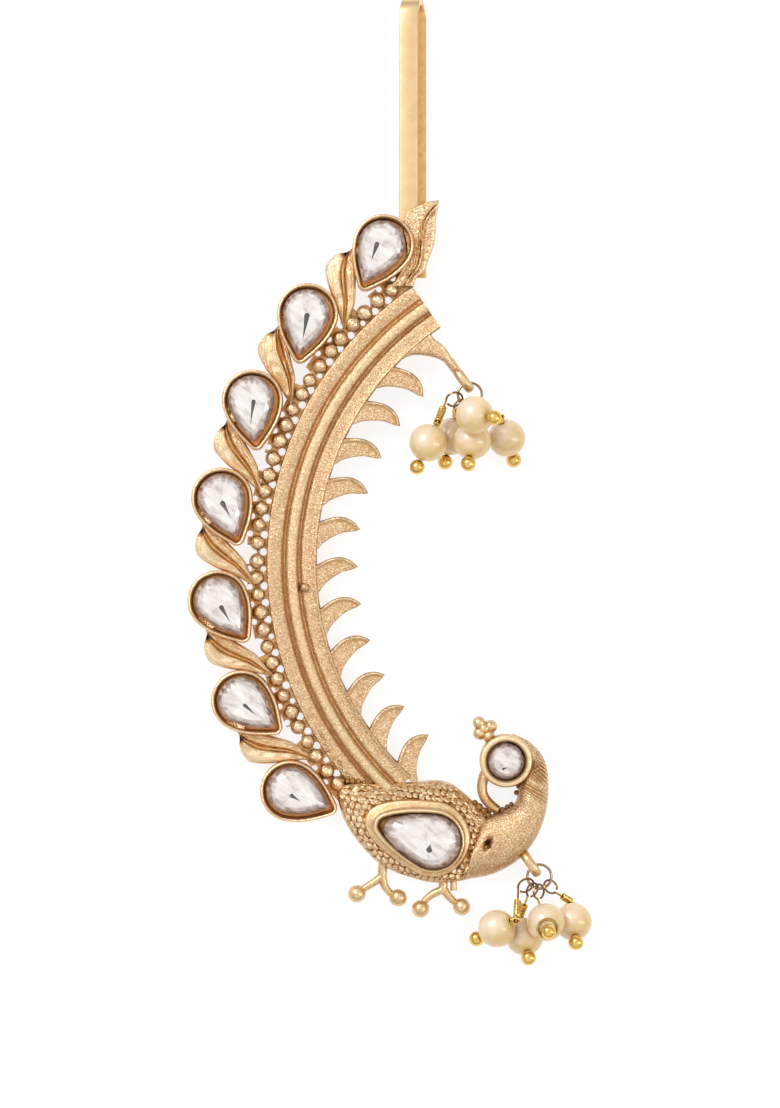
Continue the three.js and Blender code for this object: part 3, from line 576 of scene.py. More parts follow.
# The band: two stippled flanges, and a rounded rib between two grooves
BAND_PROFILE = [
    # radius, z, painted shading: above zero painted shade in the grooves and down the sides, below zero a
    # painted highlight on the rib and on the edge lines
    (28.5, 0.0, 0.5), (28.5, 1.0, 0.35), (28.56, 1.16, 0.1), (28.68, 1.26, -0.6), (28.82, 1.2, 0.1),
    (28.95, 1.12, 0.15), (29.3, 1.1, 0.0), (29.78, 1.14, -0.1), (29.94, 1.12, 0.0), (30.04, 1.04, 0.15),
    (30.14, 0.94, 0.3), (30.24, 0.9, 0.35), (30.34, 0.94, 0.3), (30.4, 1.2, 0.15), (30.46, 1.42, 0.05),
    (30.54, 1.56, 0.0), (30.66, 1.65, -0.15), (30.86, 1.7, -0.25), (31.08, 1.71, -0.25), (31.3, 1.68, -0.2),
    (31.46, 1.6, -0.15), (31.56, 1.46, 0.0), (31.62, 1.22, 0.15), (31.68, 0.96, 0.3), (31.8, 0.88, 0.4),
    (31.92, 0.92, 0.35), (32.02, 1.04, 0.15), (32.14, 1.12, -0.05), (32.7, 1.16, 0.0), (33.3, 1.18, 0.0),
    (33.42, 1.14, -0.1), (33.5, 0.98, 0.45), (33.5, 0.0, 0.5),
]


FLANGE_HEIGHT = 1.1

# Small cast beads along the flange beside the peacock's tail
ROUGH_COUNT = 18
ROUGH_START = 210.5
ROUGH_PITCH = 0.62
ROUGH_INSET = 0.45
ROUGH_RADIUS = 0.2


def make_band():
    shell = Shell()
    angles = np.linspace(BAND_BOTTOM + 1.0, BAND_TOP, 150)
    rings = []
    for angle in angles:
        rings.append([(*polar(radius, angle), z) for radius, z, painted_shading_and_tarnish in BAND_PROFILE])
    loft(shell, rings, np.tile(column(BAND_PROFILE, 2), (len(angles), 1)))
    # The beads and the stud get painted shade on their lower parts, the beads a little all over too.
    for index in range(ROUGH_COUNT):
        circle_radius = OUTER_EDGE - ROUGH_INSET + 0.5 * jitter(index, 0, 5)
        place = polar(circle_radius, ROUGH_START + index * ROUGH_PITCH)
        radius = ROUGH_RADIUS + 0.1 * jitter(index, 0, 6)
        ball(shell, (*place, FLANGE_HEIGHT - 0.02), radius, 7, 9, shade_below=0.8, painted_shading_and_tarnish=0.25)
    stud = polar(INNER_EDGE + STUD_INSET, STUD_ANGLE)
    ball(shell, (*stud, FLANGE_HEIGHT + 0.1), STUD_RADIUS, shade_below=0.5)
    shell.piece("band", GILT, *CASTING)


# The barbs: reach inwards as a share of BARB_REACH, along the edge as a share of BARB_WIDTH
BARB_UPPER = [(-0.12, 0.02), (0.04, -0.07), (0.22, -0.18), (0.42, -0.26), (0.64, -0.26), (0.85, -0.15),
              (1.0, 0.03)]
BARB_LOWER = [(-0.12, 0.86), (0.02, 0.78), (0.13, 0.6), (0.32, 0.4), (0.59, 0.2), (0.86, 0.11), (1.0, 0.03)]


def barb_edge(points, angle, count):
    places = []
    for reach, along in points:
        radius = INNER_EDGE - reach * BARB_REACH
        places.append(polar(radius, angle + math.degrees(along * BARB_WIDTH / radius)))
    return smooth(places, count)


def make_barbs():
    shell = Shell()

    def relief(share, along, width, plan):
        # The second value is painted light: painted shade along the upper edge, just inside the lip, at the
        # tip and in the notch, and a painted highlight on the lip.
        lip = ridge(share * width - 0.17, 0.22)
        shadow = 0.65 * ridge(share * width - 0.4, 0.22) + 0.8 * ridge(share * width, 0.13)
        shadow = shadow + 0.6 * np.exp(-((1 - along) / 0.06) ** 2)
        notch = np.exp(-((along - 0.12) / 0.1) ** 2) * ridge(share * width, 0.5)
        return 0.12 * lip, shadow + 0.7 * notch - 0.8 * lip
    for barb in range(BARB_COUNT):
        angle = FIRST_BARB + barb * BARB_PITCH
        upper = barb_edge(BARB_UPPER, angle, 26)
        lower = barb_edge(BARB_LOWER, angle, 26)
        strip(shell, upper, lower, BARB_THICKNESS, 0.12, 16, relief=relief)
    shell.piece("barbs", GILT, *CASTING)


# The horn and the two bails
HORN_LEFT = [(-20.6, 19.7), (-20.06, 20.3), (-18.75, 20.8), (-17.0, 20.6), (-15.9, 20.15), (-15.3, 19.6),
             (-14.95, 19.0)]
HORN_RIGHT = [(-18.2, 23.5), (-17.3, 23.0), (-16.75, 22.35), (-16.0, 21.8), (-15.35, 21.0), (-14.85, 20.1),
              (-14.2, 19.35)]
BAIL_WIDTH = 0.95
BAIL_DEPTH = 2.5
BAIL_LENGTH = 3.4
BAIL_EYE = 1.0
BAIL_ROOT = 1.43
BAILS = [
    {"start": (-14.79, 19.5), "turn": -53.9, "height": 0.75},
    {"start": (-8.02, -28.74), "turn": -56.0, "height": 1.3},
]
BAIL_SINK = 0.4


def bail(shell, start, turn, height):
    """A rounded eye that stands on edge, seen as a rod from the front."""
    way = np.append(polar(1, turn), 0.0)
    foot = np.append(np.asarray(start) - polar(BAIL_SINK, turn), height)
    ring_radius = (BAIL_DEPTH + BAIL_EYE) / 4
    rod = (BAIL_DEPTH - BAIL_EYE) / 4
    far = BAIL_LENGTH - BAIL_DEPTH / 2
    near = BAIL_ROOT - rod
    line = []
    for step in range(13):
        bend = -90 + 180 * step / 12
        line.append((far + polar(ring_radius, bend)[0], polar(ring_radius, bend)[1]))
    line += [((far + near) / 2, ring_radius), (near, ring_radius * 0.75), (near - 0.3, 0.0)]
    line += [(near, -ring_radius * 0.75), ((far + near) / 2, -ring_radius)]
    line = smooth(line, 60, closed=True)
    side = np.cross(way, (0, 0, 1))
    shell_points = Shell()
    spine = foot + line[:, :1] * way + line[:, 1:] * np.array((0, 0, 1.0))
    tube(shell_points, spine, rod, 12, closed=True)
    points = np.array(shell_points.points)
    across = (points - foot) @ side
    points += np.outer(across * (BAIL_WIDTH / (2 * rod) - 1), side)
    # Painted shade, darker lower down on the eye.
    low_shade = np.clip((height - 0.2 - points[:, 2]) / 1.2, 0, 0.6)
    shell.add(points, shell_points.faces, low_shade)
    root = foot + np.outer(np.linspace(-0.5, near + 0.3, 8), way)
    tube(shell, root, np.linspace(0.5, 0.46, 8), 14)


def make_horn():
    shell = Shell()
    left = smooth(HORN_LEFT, 30)
    right = smooth(HORN_RIGHT, 30)

    def relief(share, along, width, plan):
        # The second value paints shade along both edges, fading along one of them, and a painted highlight
        # on the lip.
        crown = 0.28 * np.sin(share * math.pi) * along
        lip = ridge((1 - share) * width - 0.2, 0.26) * np.clip(along / 0.2, 0, 1)
        edges = 0.4 * ridge(share * width, 0.2) * (1 - along) + 0.7 * ridge((1 - share) * width, 0.14)
        return crown + 0.08 * lip, edges - 0.7 * lip
    strip(shell, left, right, np.linspace(1.12, 1.0, 30), 0.25, 16, relief=relief)
    shell.piece("horn", GILT, *CASTING)
    for name, row in zip(("upper_bail", "lower_bail"), BAILS):
        shell = Shell()
        bail(shell, **row)
        shell.piece(name, SMOOTH_GILT, *CASTING)


# The cups: inset from the outline and height, from the foot outside over the rim to the seat
CUP_PROFILE = [
    # inset, z as a share of the cup's height, painted shading: painted shade down the outside and the inner
    # wall, a painted highlight on the rim
    (0.0, 0.0, 0.5), (0.0, 0.5, 0.35), (0.0, 0.84, 0.2), (0.03, 0.93, 0.0), (0.1, 0.985, -0.25),
    (0.18, 1.0, -0.35), (0.26, 0.985, -0.2), (0.32, 0.94, 0.1), (0.36, 0.88, 0.4), (0.4, 0.78, 0.55),
    (0.46, 0.58, 0.5), (0.54, 0.38, 0.55),
]
CUP_BLUNT = 0.75


def cup_outline(index, inset):
    angle = FIRST_CUP + index * CUP_PITCH
    outline = pear(CUP_RADIUS, CUP_REACH, inset, CUP_BLUNT)
    return turned(outline, polar(CUP_CIRCLE, angle), angle + CUP_TURN)


def cup(shell, centre, turn, size, profile=CUP_PROFILE, blunt=CUP_BLUNT, shift=(0, 0), short=0.0):
    """A bezel cup of a size (radius, reach, height).

    Its opening may be shifted and shorter, both given for each millimetre of inset."""
    radius, reach, height = size
    outlines = []
    for inset, share, painted_shading_and_tarnish in profile:
        drawn = pear(radius, reach - short * max(inset, 0), inset, blunt)
        outlines.append(turned(drawn, np.asarray(centre) + np.asarray(shift) * max(inset, 0), turn))
    loft(shell, levels(outlines, column(profile, 1) * height), column(profile, 2))


# Stones: two rows of crown facets round a table, which has soft streaks of painted reflection and one dark
# drop-shaped mark; each facet's tone is a painted reflection
STONE_RINGS = [
    # scale of the outline, height share, painted shade (darkest at the girdle, under the cup's wall), half a
    # step round
    (0.8, 0.0, 0.9, False), (1.0, 0.42, 0.9, False), (1.0, 0.52, 0.7, False),
    (0.86, 0.82, 0.34, True), (0.68, 1.0, 0.06, False),
]


def stone(shell, outline, middle, low, high, seed, bright=1.0):
    """A cut stone: foot, girdle, two rows of crown facets and a table of flat streaks, with a painted
    reflection tone on each facet and painted shade at the girdle.
    """
    rng = random.Random(seed)
    count = len(outline)
    between = (outline + np.roll(outline, -1, 0)) / 2
    rings = []
    painted_shading_and_tarnish = []
    for scale, share, darkening, half in STONE_RINGS:
        drawn = middle + ((between if half else outline) - middle) * scale
        rings.append(np.column_stack([drawn, np.full(count, low + (high - low) * share)]))
        painted_shading_and_tarnish += [darkening] * count
    painted_shading_and_tarnish.append(0.0)
    points = np.vstack(rings + [[(*middle, high)]])
    faces = [list(range(count))[::-1]]
    tones = [0.3]
    turn = rng.uniform(0, 2 * math.pi)
    for side in range(count):
        after = (side + 1) % count
        before = (side - 1) % count
        girdle, crown, table = 2 * count, 3 * count, 4 * count
        faces += [[side, after, count + after, count + side]]
        faces += [[count + side, count + after, girdle + after, girdle + side]]
        faces += [[girdle + side, girdle + after, crown + side]]
        faces += [[girdle + side, crown + side, crown + before]]
        faces += [[crown + side, table + side, crown + before]]
        faces += [[crown + side, table + after, table + side]]
        faces += [[table + side, table + after, 5 * count]]
        # Each facet's tone is a painted reflection of the foil, and so are the table's streaks.
        around = turn + 2 * math.pi * side / count
        streak = 0.82 + 0.07 * math.sin(3 * around) + 0.05 * math.sin(7 * around + turn)
        tones += [0.35, 0.5, rng.uniform(0.6, 0.9), rng.uniform(0.5, 0.78), rng.uniform(0.6, 0.9),
                  rng.uniform(0.68, 0.92), streak]
    shell.add(points, faces, painted_shading_and_tarnish, np.array(tones) * bright)


def stone_mark(shell, start, turn, radius, reach, top):
    """The dark drop that shows through the table, round at its start and thin at its end."""
    head = [polar(radius, degrees) for degrees in range(90, 271, 20)]
    tail = [(reach * share, -radius * (1 - share) ** 1.25) for share in (0.15, 0.35, 0.55, 0.78)]
    back = [(x, -y) for x, y in tail[::-1]]
    outline = turned(np.array(head + tail + [(reach, 0.0)] + back), start, turn)
    loft(shell, levels([outline, outline], [top - 0.06, top + 0.008]), tones=0.0)


MARKS = [
    # right and up from the stone's centre, turn, length, radius
    (-0.5, -0.15, 251.0, 1.8, 0.25), (0.1, -0.35, 260.0, 2.5, 0.28), (0.3, -0.3, 262.0, 2.4, 0.21),
    (0.2, -0.6, 300.0, 1.7, 0.26), (0.4, -0.7, 301.0, 1.8, 0.23), (0.4, -0.5, 318.0, 1.6, 0.18),
    (0.2, -0.5, 327.0, 1.1, 0.2),
]
# How far each stone sits off its cup's middle, to the upper left
STONE_SHIFT = [0.2, 0.17, 0.2, 0.12, 0.06, 0.08, 0.08]


def stone_outline(radius, reach, centre, turn, blunt=0.3):
    return turned(pear(radius, reach, 0.0, blunt, 11, 3), centre, turn)


def make_cups():
    shell = Shell()
    for index in range(CUP_COUNT):
        angle = FIRST_CUP + index * CUP_PITCH
        cup(shell, polar(CUP_CIRCLE, angle), angle + CUP_TURN, (CUP_RADIUS, CUP_REACH, CUP_HEIGHT))
    shell.piece("bezel_cups", CUP_GILT, *CASTING)
    for index in range(CUP_COUNT):
        angle = FIRST_CUP + index * CUP_PITCH
        turn = angle + CUP_TURN
        centre = polar(CUP_CIRCLE, angle) + polar(STONE_SHIFT[index], 135)
        outline = stone_outline(STONE_RADIUS, STONE_REACH, centre, turn)
        middle = centre + polar(0.5, turn)
        shell = Shell()
        stone(shell, outline, middle, STONE_FOOT, STONE_TOP, STONE_SEED + index)
        right, up, heading, length, radius = MARKS[index]
        stone_mark(shell, centre + (right, up), heading, radius, length, STONE_TOP)
        node = f"pear_stone_{index + 1}"
        shell.piece(f"{node}_cut", CRYSTAL, "crystal", [node], sharp=4.0)


# The pierced gallery and its granules
def drilled(name, shell, holes, low, high, sides=12):
    """The shell with round holes cut through it, as a new shell."""
    cutters = Shell()
    for x, y, radius in holes:
        outline = circle(sides, radius) + (x, y)
        loft(cutters, levels([outline, outline], [low, high]))
    meshes = []
    for part in (shell, cutters):
        mesh = bpy.data.meshes.new(name)
        mesh.from_pydata(part.points, [], part.faces)
        thing = bpy.data.objects.new(name, mesh)
        bpy.context.scene.collection.objects.link(thing)
        meshes.append(thing)
    body, tool = meshes
    cut = body.modifiers.new("cut", "BOOLEAN")
    cut.object = tool
    cut.solver = "EXACT"
    made = bpy.data.meshes.new_from_object(body.evaluated_get(bpy.context.evaluated_depsgraph_get()))
    result = Shell()
    points = [vertex.co[:] for vertex in made.vertices]
    # The plate behind the granules gets painted shade all over.
    result.add(points, [list(polygon.vertices) for polygon in made.polygons], 0.5)
    for thing in meshes:
        bpy.data.objects.remove(thing)
    return result


def make_gallery():
    plate = Shell()
    start, end = BAND_TOP + 0.3, FIRST_CUP + GRANULE_PITCH * GRANULE_COUNT
    outline = np.vstack([along_arc((start, end), OUTER_EDGE - 0.25, 60),
                         along_arc((end, start), GALLERY_EDGE, 60)])
    loft(plate, levels([outline, outline], [0.0, GALLERY_THICKNESS]))
    holes = []
    for index in range(2, GRANULE_COUNT):
        angle = GRANULE_START + (index - 0.5) * GRANULE_PITCH
        holes.append((*polar(OUTER_EDGE + 0.36, angle), HOLE_RADIUS if index % 4 else SMALL_HOLE))
    tips = [polar(GALLERY_EDGE - 0.1, FIRST_CUP + (index + 0.54) * CUP_PITCH)
            for index in range(CUP_COUNT - 1)]
    for index in range(1, GRANULE_COUNT):
        notch = polar(GALLERY_EDGE - 0.22, GRANULE_START + (index - 0.5) * GRANULE_PITCH)
        if min(np.linalg.norm(notch - tip) for tip in tips) > TIP_HOLE + 0.4:
            holes.append((*notch, NOTCH_RADIUS))
    holes += [(*tip, TIP_HOLE) for tip in tips]
    pierced = drilled("gallery", plate, holes, -1.0, 2.0)
    # The granules get painted shade on their lower parts.
    for index in range(GRANULE_COUNT):
        place = polar(GRANULE_CIRCLE + 0.14 * jitter(index, 0, 7),
                      GRANULE_START + (index + 0.1 * jitter(index, 0, 8)) * GRANULE_PITCH)
        radius = GRANULE_RADIUS * (1 + 0.14 * jitter(index, 0, 9))
        ball(pierced, (*place, GALLERY_THICKNESS + 0.2), radius, shade_below=0.9)
    pierced.piece("gallery", GRANULE_GILT, *CASTING)


# The leaves between the cups: out as a share of CUP_CIRCLE, turn as a share of CUP_PITCH
LEAF_OUTER = [(1.0, 0.22), (1.035, 0.3), (1.053, 0.38), (1.056, 0.49), (1.045, 0.58), (1.006, 0.67),
              (0.963, 0.74), (0.912, 0.86)]
LEAF_FOOT = [(0.935, 0.57), (0.921, 0.67), (0.911, 0.76), (0.9, 0.86)]
CUP_SIDE = range(33, 49, 4)
LEAF_PIT = (1.045, 0.335)
BRUSHED_LEAF = 1


def leaf_places(points, index):
    return [polar(CUP_CIRCLE * out, FIRST_CUP + (index + turn) * CUP_PITCH) for out, turn in points]


def leaf_edges(index, count):
    """The edge beside the cup above, which follows the middle of its wall, and the free edge."""
    wall = cup_outline(index, 0.15)
    inner = [wall[place] for place in CUP_SIDE] + leaf_places(LEAF_FOOT, index)
    return smooth(inner, count), smooth(leaf_places(LEAF_OUTER, index), count)


def leaf_relief(index):
    """A rounded outer lobe, a thin raised rib and a mottled inner lobe, with a pit at the top darkened by
    painted shade.
    """
    out, turn = LEAF_PIT
    pit = polar(CUP_CIRCLE * out, FIRST_CUP + (index + turn) * CUP_PITCH)
    brushed = 0.03 if index == BRUSHED_LEAF else 0.02
    split = 0.34 if index == BRUSHED_LEAF else 0.5

    def relief(share, along, width, plan):
        ends = np.sin(np.clip(along, 0.03, 0.97) * math.pi) ** 0.5
        rib = np.exp(-((share - split + 0.07) / 0.035) ** 2)
        grooves = np.exp(-((share - split + 0.005) / 0.022) ** 2)
        grooves = grooves + np.exp(-((share - split + 0.14) / 0.03) ** 2)
        lobe = np.sin(np.clip((share - split) / (1 - split), 0, 1) * math.pi) ** 0.7
        inner = np.sin(np.clip(share / (split - 0.14), 0, 1) * math.pi) ** 0.8
        lines = np.sin(share * 2 * math.pi * 17 + 3 * np.sin(along * 9 + index))
        rise = ends * (0.28 * rib - 0.16 * grooves + 0.3 * lobe + 0.12 * inner) + brushed * lines
        gone = np.exp(-(np.linalg.norm(plan - pit, axis=2) / 0.34) ** 2)
        mottle = np.clip(rough(plan, 0.26) + 0.5 * rough(plan, 0.15), -0.4, 1)
        # A painted highlight on the rib and the outer lobe.
        painted_highlight = ends * (0.6 * rib + 0.45 * lobe ** 2)
        # Painted shade in the grooves and the pit, darker at the inner lobe's lower end; tarnish in the
        # brushed lines and, below, the inner lobe's mottle.
        shade_and_tarnish = 0.6 * ends * grooves + 1.6 * gone + 0.3 * inner * (1 - along) + 0.28 * (lines < -0.3)
        shade_and_tarnish += 0.4 * ends * inner * mottle
        return rise - 0.8 * gone - 0.05 * ends * inner * mottle, shade_and_tarnish - painted_highlight
    return relief


def make_leaves():
    shell = Shell()
    for index in range(CUP_COUNT - 1):
        strip(shell, *leaf_edges(index, 64), 1.4, 0.25, 52, relief=leaf_relief(index))
    shell.piece("leaves", LEAF_GILT, *CASTING)


# The leaf finial at the top: its left and right edges from the tip down
FINIAL_LEFT = [(-16.3, 36.2), (-17.5, 36.0), (-18.6, 35.5), (-19.6, 34.8), (-19.9, 33.2), (-19.6, 31.6),
               (-19.7, 30.2), (-20.6, 28.4), (-21.3, 27.6)]
FINIAL_RIGHT = [(-16.3, 36.2), (-16.4, 35.4), (-16.6, 34.2), (-16.65, 33.0), (-16.8, 31.8), (-17.3, 30.4),
                (-17.75, 29.2), (-18.5, 28.6), (-18.85, 27.6)]


def make_finial():
    shell = Shell()

    def relief(share, along, width, plan):
        at = share * width
        fade = np.clip(along / 0.12, 0, 1)
        middle = ridge(at - width * 0.52, 0.22) + ridge(at - width * 0.52 - 0.34, 0.2)
        edges = ridge(at - 0.18, 0.3) + ridge(width - at - 0.15, 0.26)
        groove = ridge(at - width * 0.52 - 0.17, 0.14) + ridge(at - width * 0.52 - 0.56, 0.24)
        pits = rough(plan, 0.3) + 0.6 * rough(plan, 0.17)
        rise = fade * (0.22 * middle + 0.12 * edges - 0.08 * groove + 0.25 * np.sin(share * math.pi))
        # The second value is painted shade in the grooves and a painted highlight on the middle ribs and the
        # edges, lighter on the lumps and darker in the pits.
        return rise + 0.03 * pits, fade * (0.3 * groove - 0.9 * middle - 0.5 * edges) - 0.12 * pits
    strip(shell, smooth(FINIAL_LEFT, 90), smooth(FINIAL_RIGHT, 90), 1.35, 0.2, 46, relief=relief)
    shell.piece("leaf_finial", FINIAL_GILT, *CASTING)


# The peacock, with four long feathers beside its breast
FEATHERS = [(-11.9, -28.55), (-12.35, -29.2), (-12.9, -29.85), (-13.45, -30.45)]
FEATHER_TURN = 48.0
FEATHER_HEIGHT = 1.95
FEATHER_LENGTH = 1.1
FEATHER_RADII = [0.08, 0.2, 0.25, 0.26, 0.26, 0.25, 0.22, 0.17, 0.08]
BODY_MIDDLE = (-18.0, -27.2)
BODY_OUTLINE = [
    (-26.4, -22.7), (-26.1, -24.7), (-25.4, -26.3), (-24.2, -28.0), (-22.6, -29.7), (-20.7, -30.8),
    (-19.0, -31.4), (-16.9, -31.85), (-14.1, -31.7), (-12.2, -30.9), (-11.2, -28.8), (-11.2, -26.4),
    (-12.3, -24.5), (-14.5, -22.4), (-16.3, -21.7), (-19.0, -21.9), (-22.4, -22.0), (-24.9, -21.9),
]
SCALE_ROW = 0.62
SCALE_PITCH = 0.8
SCALE_HEADING = np.array((-0.86, -0.51))
TAIL_BURRS = [(-26.5, -21.75, 0.26), (-26.0, -21.7, 0.3), (-25.45, -21.75, 0.24), (-24.95, -21.7, 0.3),
              (-24.35, -21.75, 0.26), (-23.8, -21.85, 0.22), (-26.75, -22.3, 0.22)]


def scale_relief(points):
    """Overlapping round scales that open towards the tail: their rise from 0 in the gaps to 1."""
    across = np.array((-SCALE_HEADING[1], SCALE_HEADING[0]))
    along = points @ SCALE_HEADING / SCALE_PITCH
    beside = points @ across / SCALE_PITCH
    best = np.full(len(points), -1e9)
    rise = np.zeros(len(points))
    for row_step in (-1, 0, 1, 2):
        row = np.floor(along / SCALE_ROW) + row_step
        offset = np.where(np.mod(row, 2) == 0, 0.0, 0.5)
        for column_step in (-1, 0, 1):
            column = np.floor(beside - offset) + column_step
            gap_along = along - row * SCALE_ROW - 0.16 * jitter(row, column, 1)
            gap_beside = beside - offset - column - 0.16 * jitter(row, column, 2)
            distance = np.hypot(gap_along, gap_beside) / (1 + 0.16 * jitter(row, column, 3))
            covers = (distance < 0.53) & (-row > best)
            best = np.where(covers, -row, best)
            edge = 1 - np.clip(distance / 0.53, 0, 1) ** 5
            lift = np.clip((gap_along + 0.56) / 1.12, 0, 1) * edge
            rise = np.where(covers, lift, rise)
    return rise


def within(points, outline):
    """Which points lie inside an outline that has no hollows and runs counter-clockwise."""
    inside = np.ones(len(points), bool)
    for start, end in zip(outline, np.roll(outline, -1, 0)):
        edge = end - start
        offset = points - start
        inside &= edge[0] * offset[:, 1] - edge[1] * offset[:, 0] > 0
    return inside


def make_body():
    shell = Shell()
    seat = turned(pear(BODY_CUP_RADIUS, BODY_CUP_REACH, 0.5, BODY_CUP_BLUNT), BODY_CUP, BODY_CUP_TURN)
    centre = np.array(BODY_MIDDLE)
    outline = smooth(BODY_OUTLINE, 400, closed=True)
    offsets = outline - centre
    turns = np.unwrap(np.arctan2(offsets[:, 1], offsets[:, 0]))
    around = np.linspace(0, 2 * math.pi, 260, endpoint=False)
    order = np.argsort(np.mod(turns, 2 * math.pi))
    reach = np.interp(around, np.mod(turns, 2 * math.pi)[order],
                      np.linalg.norm(offsets, axis=1)[order], period=2 * math.pi)
    shares = np.concatenate([[1.0, 1.0], np.linspace(1.0, 0.3, 62)])
    rings = []
    body_shading = []
    for step, share in enumerate(shares):
        plan = centre + (reach * share)[:, None] * np.column_stack([np.cos(around), np.sin(around)])
        if step == 0:
            height = np.zeros(len(around))
            painted_shading_and_tarnish = np.full(len(around), 0.5)
        else:
            dome = BODY_EDGE + (BODY_THICKNESS - BODY_EDGE) * np.sqrt(np.clip(1 - share ** 3.2, 0, 1))
            rise = scale_relief(plan)
            shown = np.clip((1 - share) / 0.06, 0, 1) * np.clip((-11.6 - plan[:, 0]) / 0.8, 0, 1)
            height = dome + 0.46 * (rise - 0.45) * shown
            height = np.where(within(plan, seat), SEAT_HEIGHT, height)
            # Painted shade in the gaps between the scales, a painted highlight on their raised parts and a
            # little painted shade all over; the foot ring above gets painted shade too.
            painted_shading_and_tarnish = (2.6 * np.clip(0.36 - rise, 0, 0.5) - 1.3 * np.clip(rise - 0.5, 0, 1)) * shown + 0.1
        rings.append(np.column_stack([plan, height]))
        body_shading.append(painted_shading_and_tarnish)
    loft(shell, rings, np.array(body_shading))
    for x, y in FEATHERS:
        way = np.append(polar(FEATHER_LENGTH / 2, FEATHER_TURN), 0.0)
        middle = np.array((x, y, FEATHER_HEIGHT))
        tube(shell, smooth([middle - way, middle, middle + way], 9), FEATHER_RADII, 10, 0.05)
    # The burrs are darkened all over, with painted shade on their lower parts.
    for x, y, radius in TAIL_BURRS:
        ball(shell, (x, y, 1.25), radius, 7, 9, shade_below=1.0, painted_shading_and_tarnish=0.7)
    shell.piece("peacock_body", GRANULE_GILT, *CASTING)


BODY_STONE_RADIUS = 2.72
BODY_STONE_REACH = 5.15
BODY_STONE_BLUNT = 1.3
BODY_STONE_FOOT = 1.35
BODY_STONE_TOP = 3.1
BODY_STONE_SEED = 77
BODY_MARK = (-17.3, -28.45)
BODY_CUP_SHIFT = np.array((0.1, -0.32))
BODY_CUP_SHORT = 0.35
BODY_CUP_PROFILE = [
    # inset, z as a share of the cup's height, painted shading: painted shade down the outside, in the groove
    # and down the inner wall, a painted highlight on the inner ridge
    (-0.12, 0.2, 0.6), (-0.12, 0.66, 0.6), (-0.06, 0.76, 0.3), (0.06, 0.84, -0.1), (0.22, 0.87, 0.1),
    (0.4, 0.88, 0.28), (0.54, 0.92, 0.22), (0.66, 0.99, -0.35), (0.76, 1.0, -0.6), (0.85, 0.95, -0.1),
    (0.91, 0.84, 0.35), (0.96, 0.7, 0.6), (1.06, 0.5, 0.65),
]


def make_body_stone():
    shell = Shell()
    cup(shell, BODY_CUP, BODY_CUP_TURN, (BODY_CUP_RADIUS, BODY_CUP_REACH, BODY_CUP_HEIGHT),
        BODY_CUP_PROFILE, BODY_CUP_BLUNT, BODY_CUP_SHIFT, BODY_CUP_SHORT)
    shell.piece("peacock_bezel", SMOOTH_GILT, *CASTING)
    centre = np.array(BODY_CUP) + BODY_CUP_SHIFT
    outline = stone_outline(BODY_STONE_RADIUS, BODY_STONE_REACH, centre, BODY_CUP_TURN + 1, BODY_STONE_BLUNT)
    middle = centre + polar(0.9, BODY_CUP_TURN)
    shell = Shell()
    stone(shell, outline, middle, BODY_STONE_FOOT, BODY_STONE_TOP, BODY_STONE_SEED)
    stone_mark(shell, BODY_MARK, 80.0, 0.3, 0.6, BODY_STONE_TOP)
    shell.piece("body_stone_cut", CRYSTAL, "crystal", ["body_stone"], sharp=4.0)


NECK_INNER = [(-12.6, -27.4), (-11.9, -25.6), (-9.9, -24.7), (-8.7, -23.9), (-8.4, -22.6), (-8.1, -21.2),
              (-7.8, -19.9), (-8.4, -18.6), (-9.6, -18.0)]
NECK_OUTER = [(-13.8, -31.6), (-10.9, -31.0), (-8.4, -29.6), (-6.6, -27.4), (-5.6, -24.6), (-5.4, -21.6),
              (-5.9, -19.4), (-7.2, -17.9), (-8.9, -17.05)]
NECK_PIT = (-11.5, -27.95)
BURRS = [(-12.75, -23.95, 0.34), (-12.3, -24.35, 0.42), (-11.8, -24.75, 0.4), (-11.4, -25.15, 0.34),
         (-11.2, -24.6, 0.36), (-10.6, -24.8, 0.36), (-10.0, -24.65, 0.34), (-9.5, -24.35, 0.28),
         (-9.1, -24.05, 0.24), (-8.6, -22.9, 0.26), (-8.4, -22.3, 0.24)]
BEAK_OUTER = [(-11.9, -20.3), (-12.35, -21.3), (-12.5, -22.5), (-12.2, -23.6), (-11.45, -24.5),
              (-10.6, -24.95)]
BEAK_INNER = [(-11.0, -21.1), (-11.45, -21.9), (-11.5, -22.7), (-11.25, -23.3), (-10.75, -23.85),
              (-10.2, -24.3)]
CREST_BALLS = [(-12.3, -15.95), (-11.15, -16.3), (-12.25, -17.0), (-11.35, -17.3), (-11.8, -16.55)]


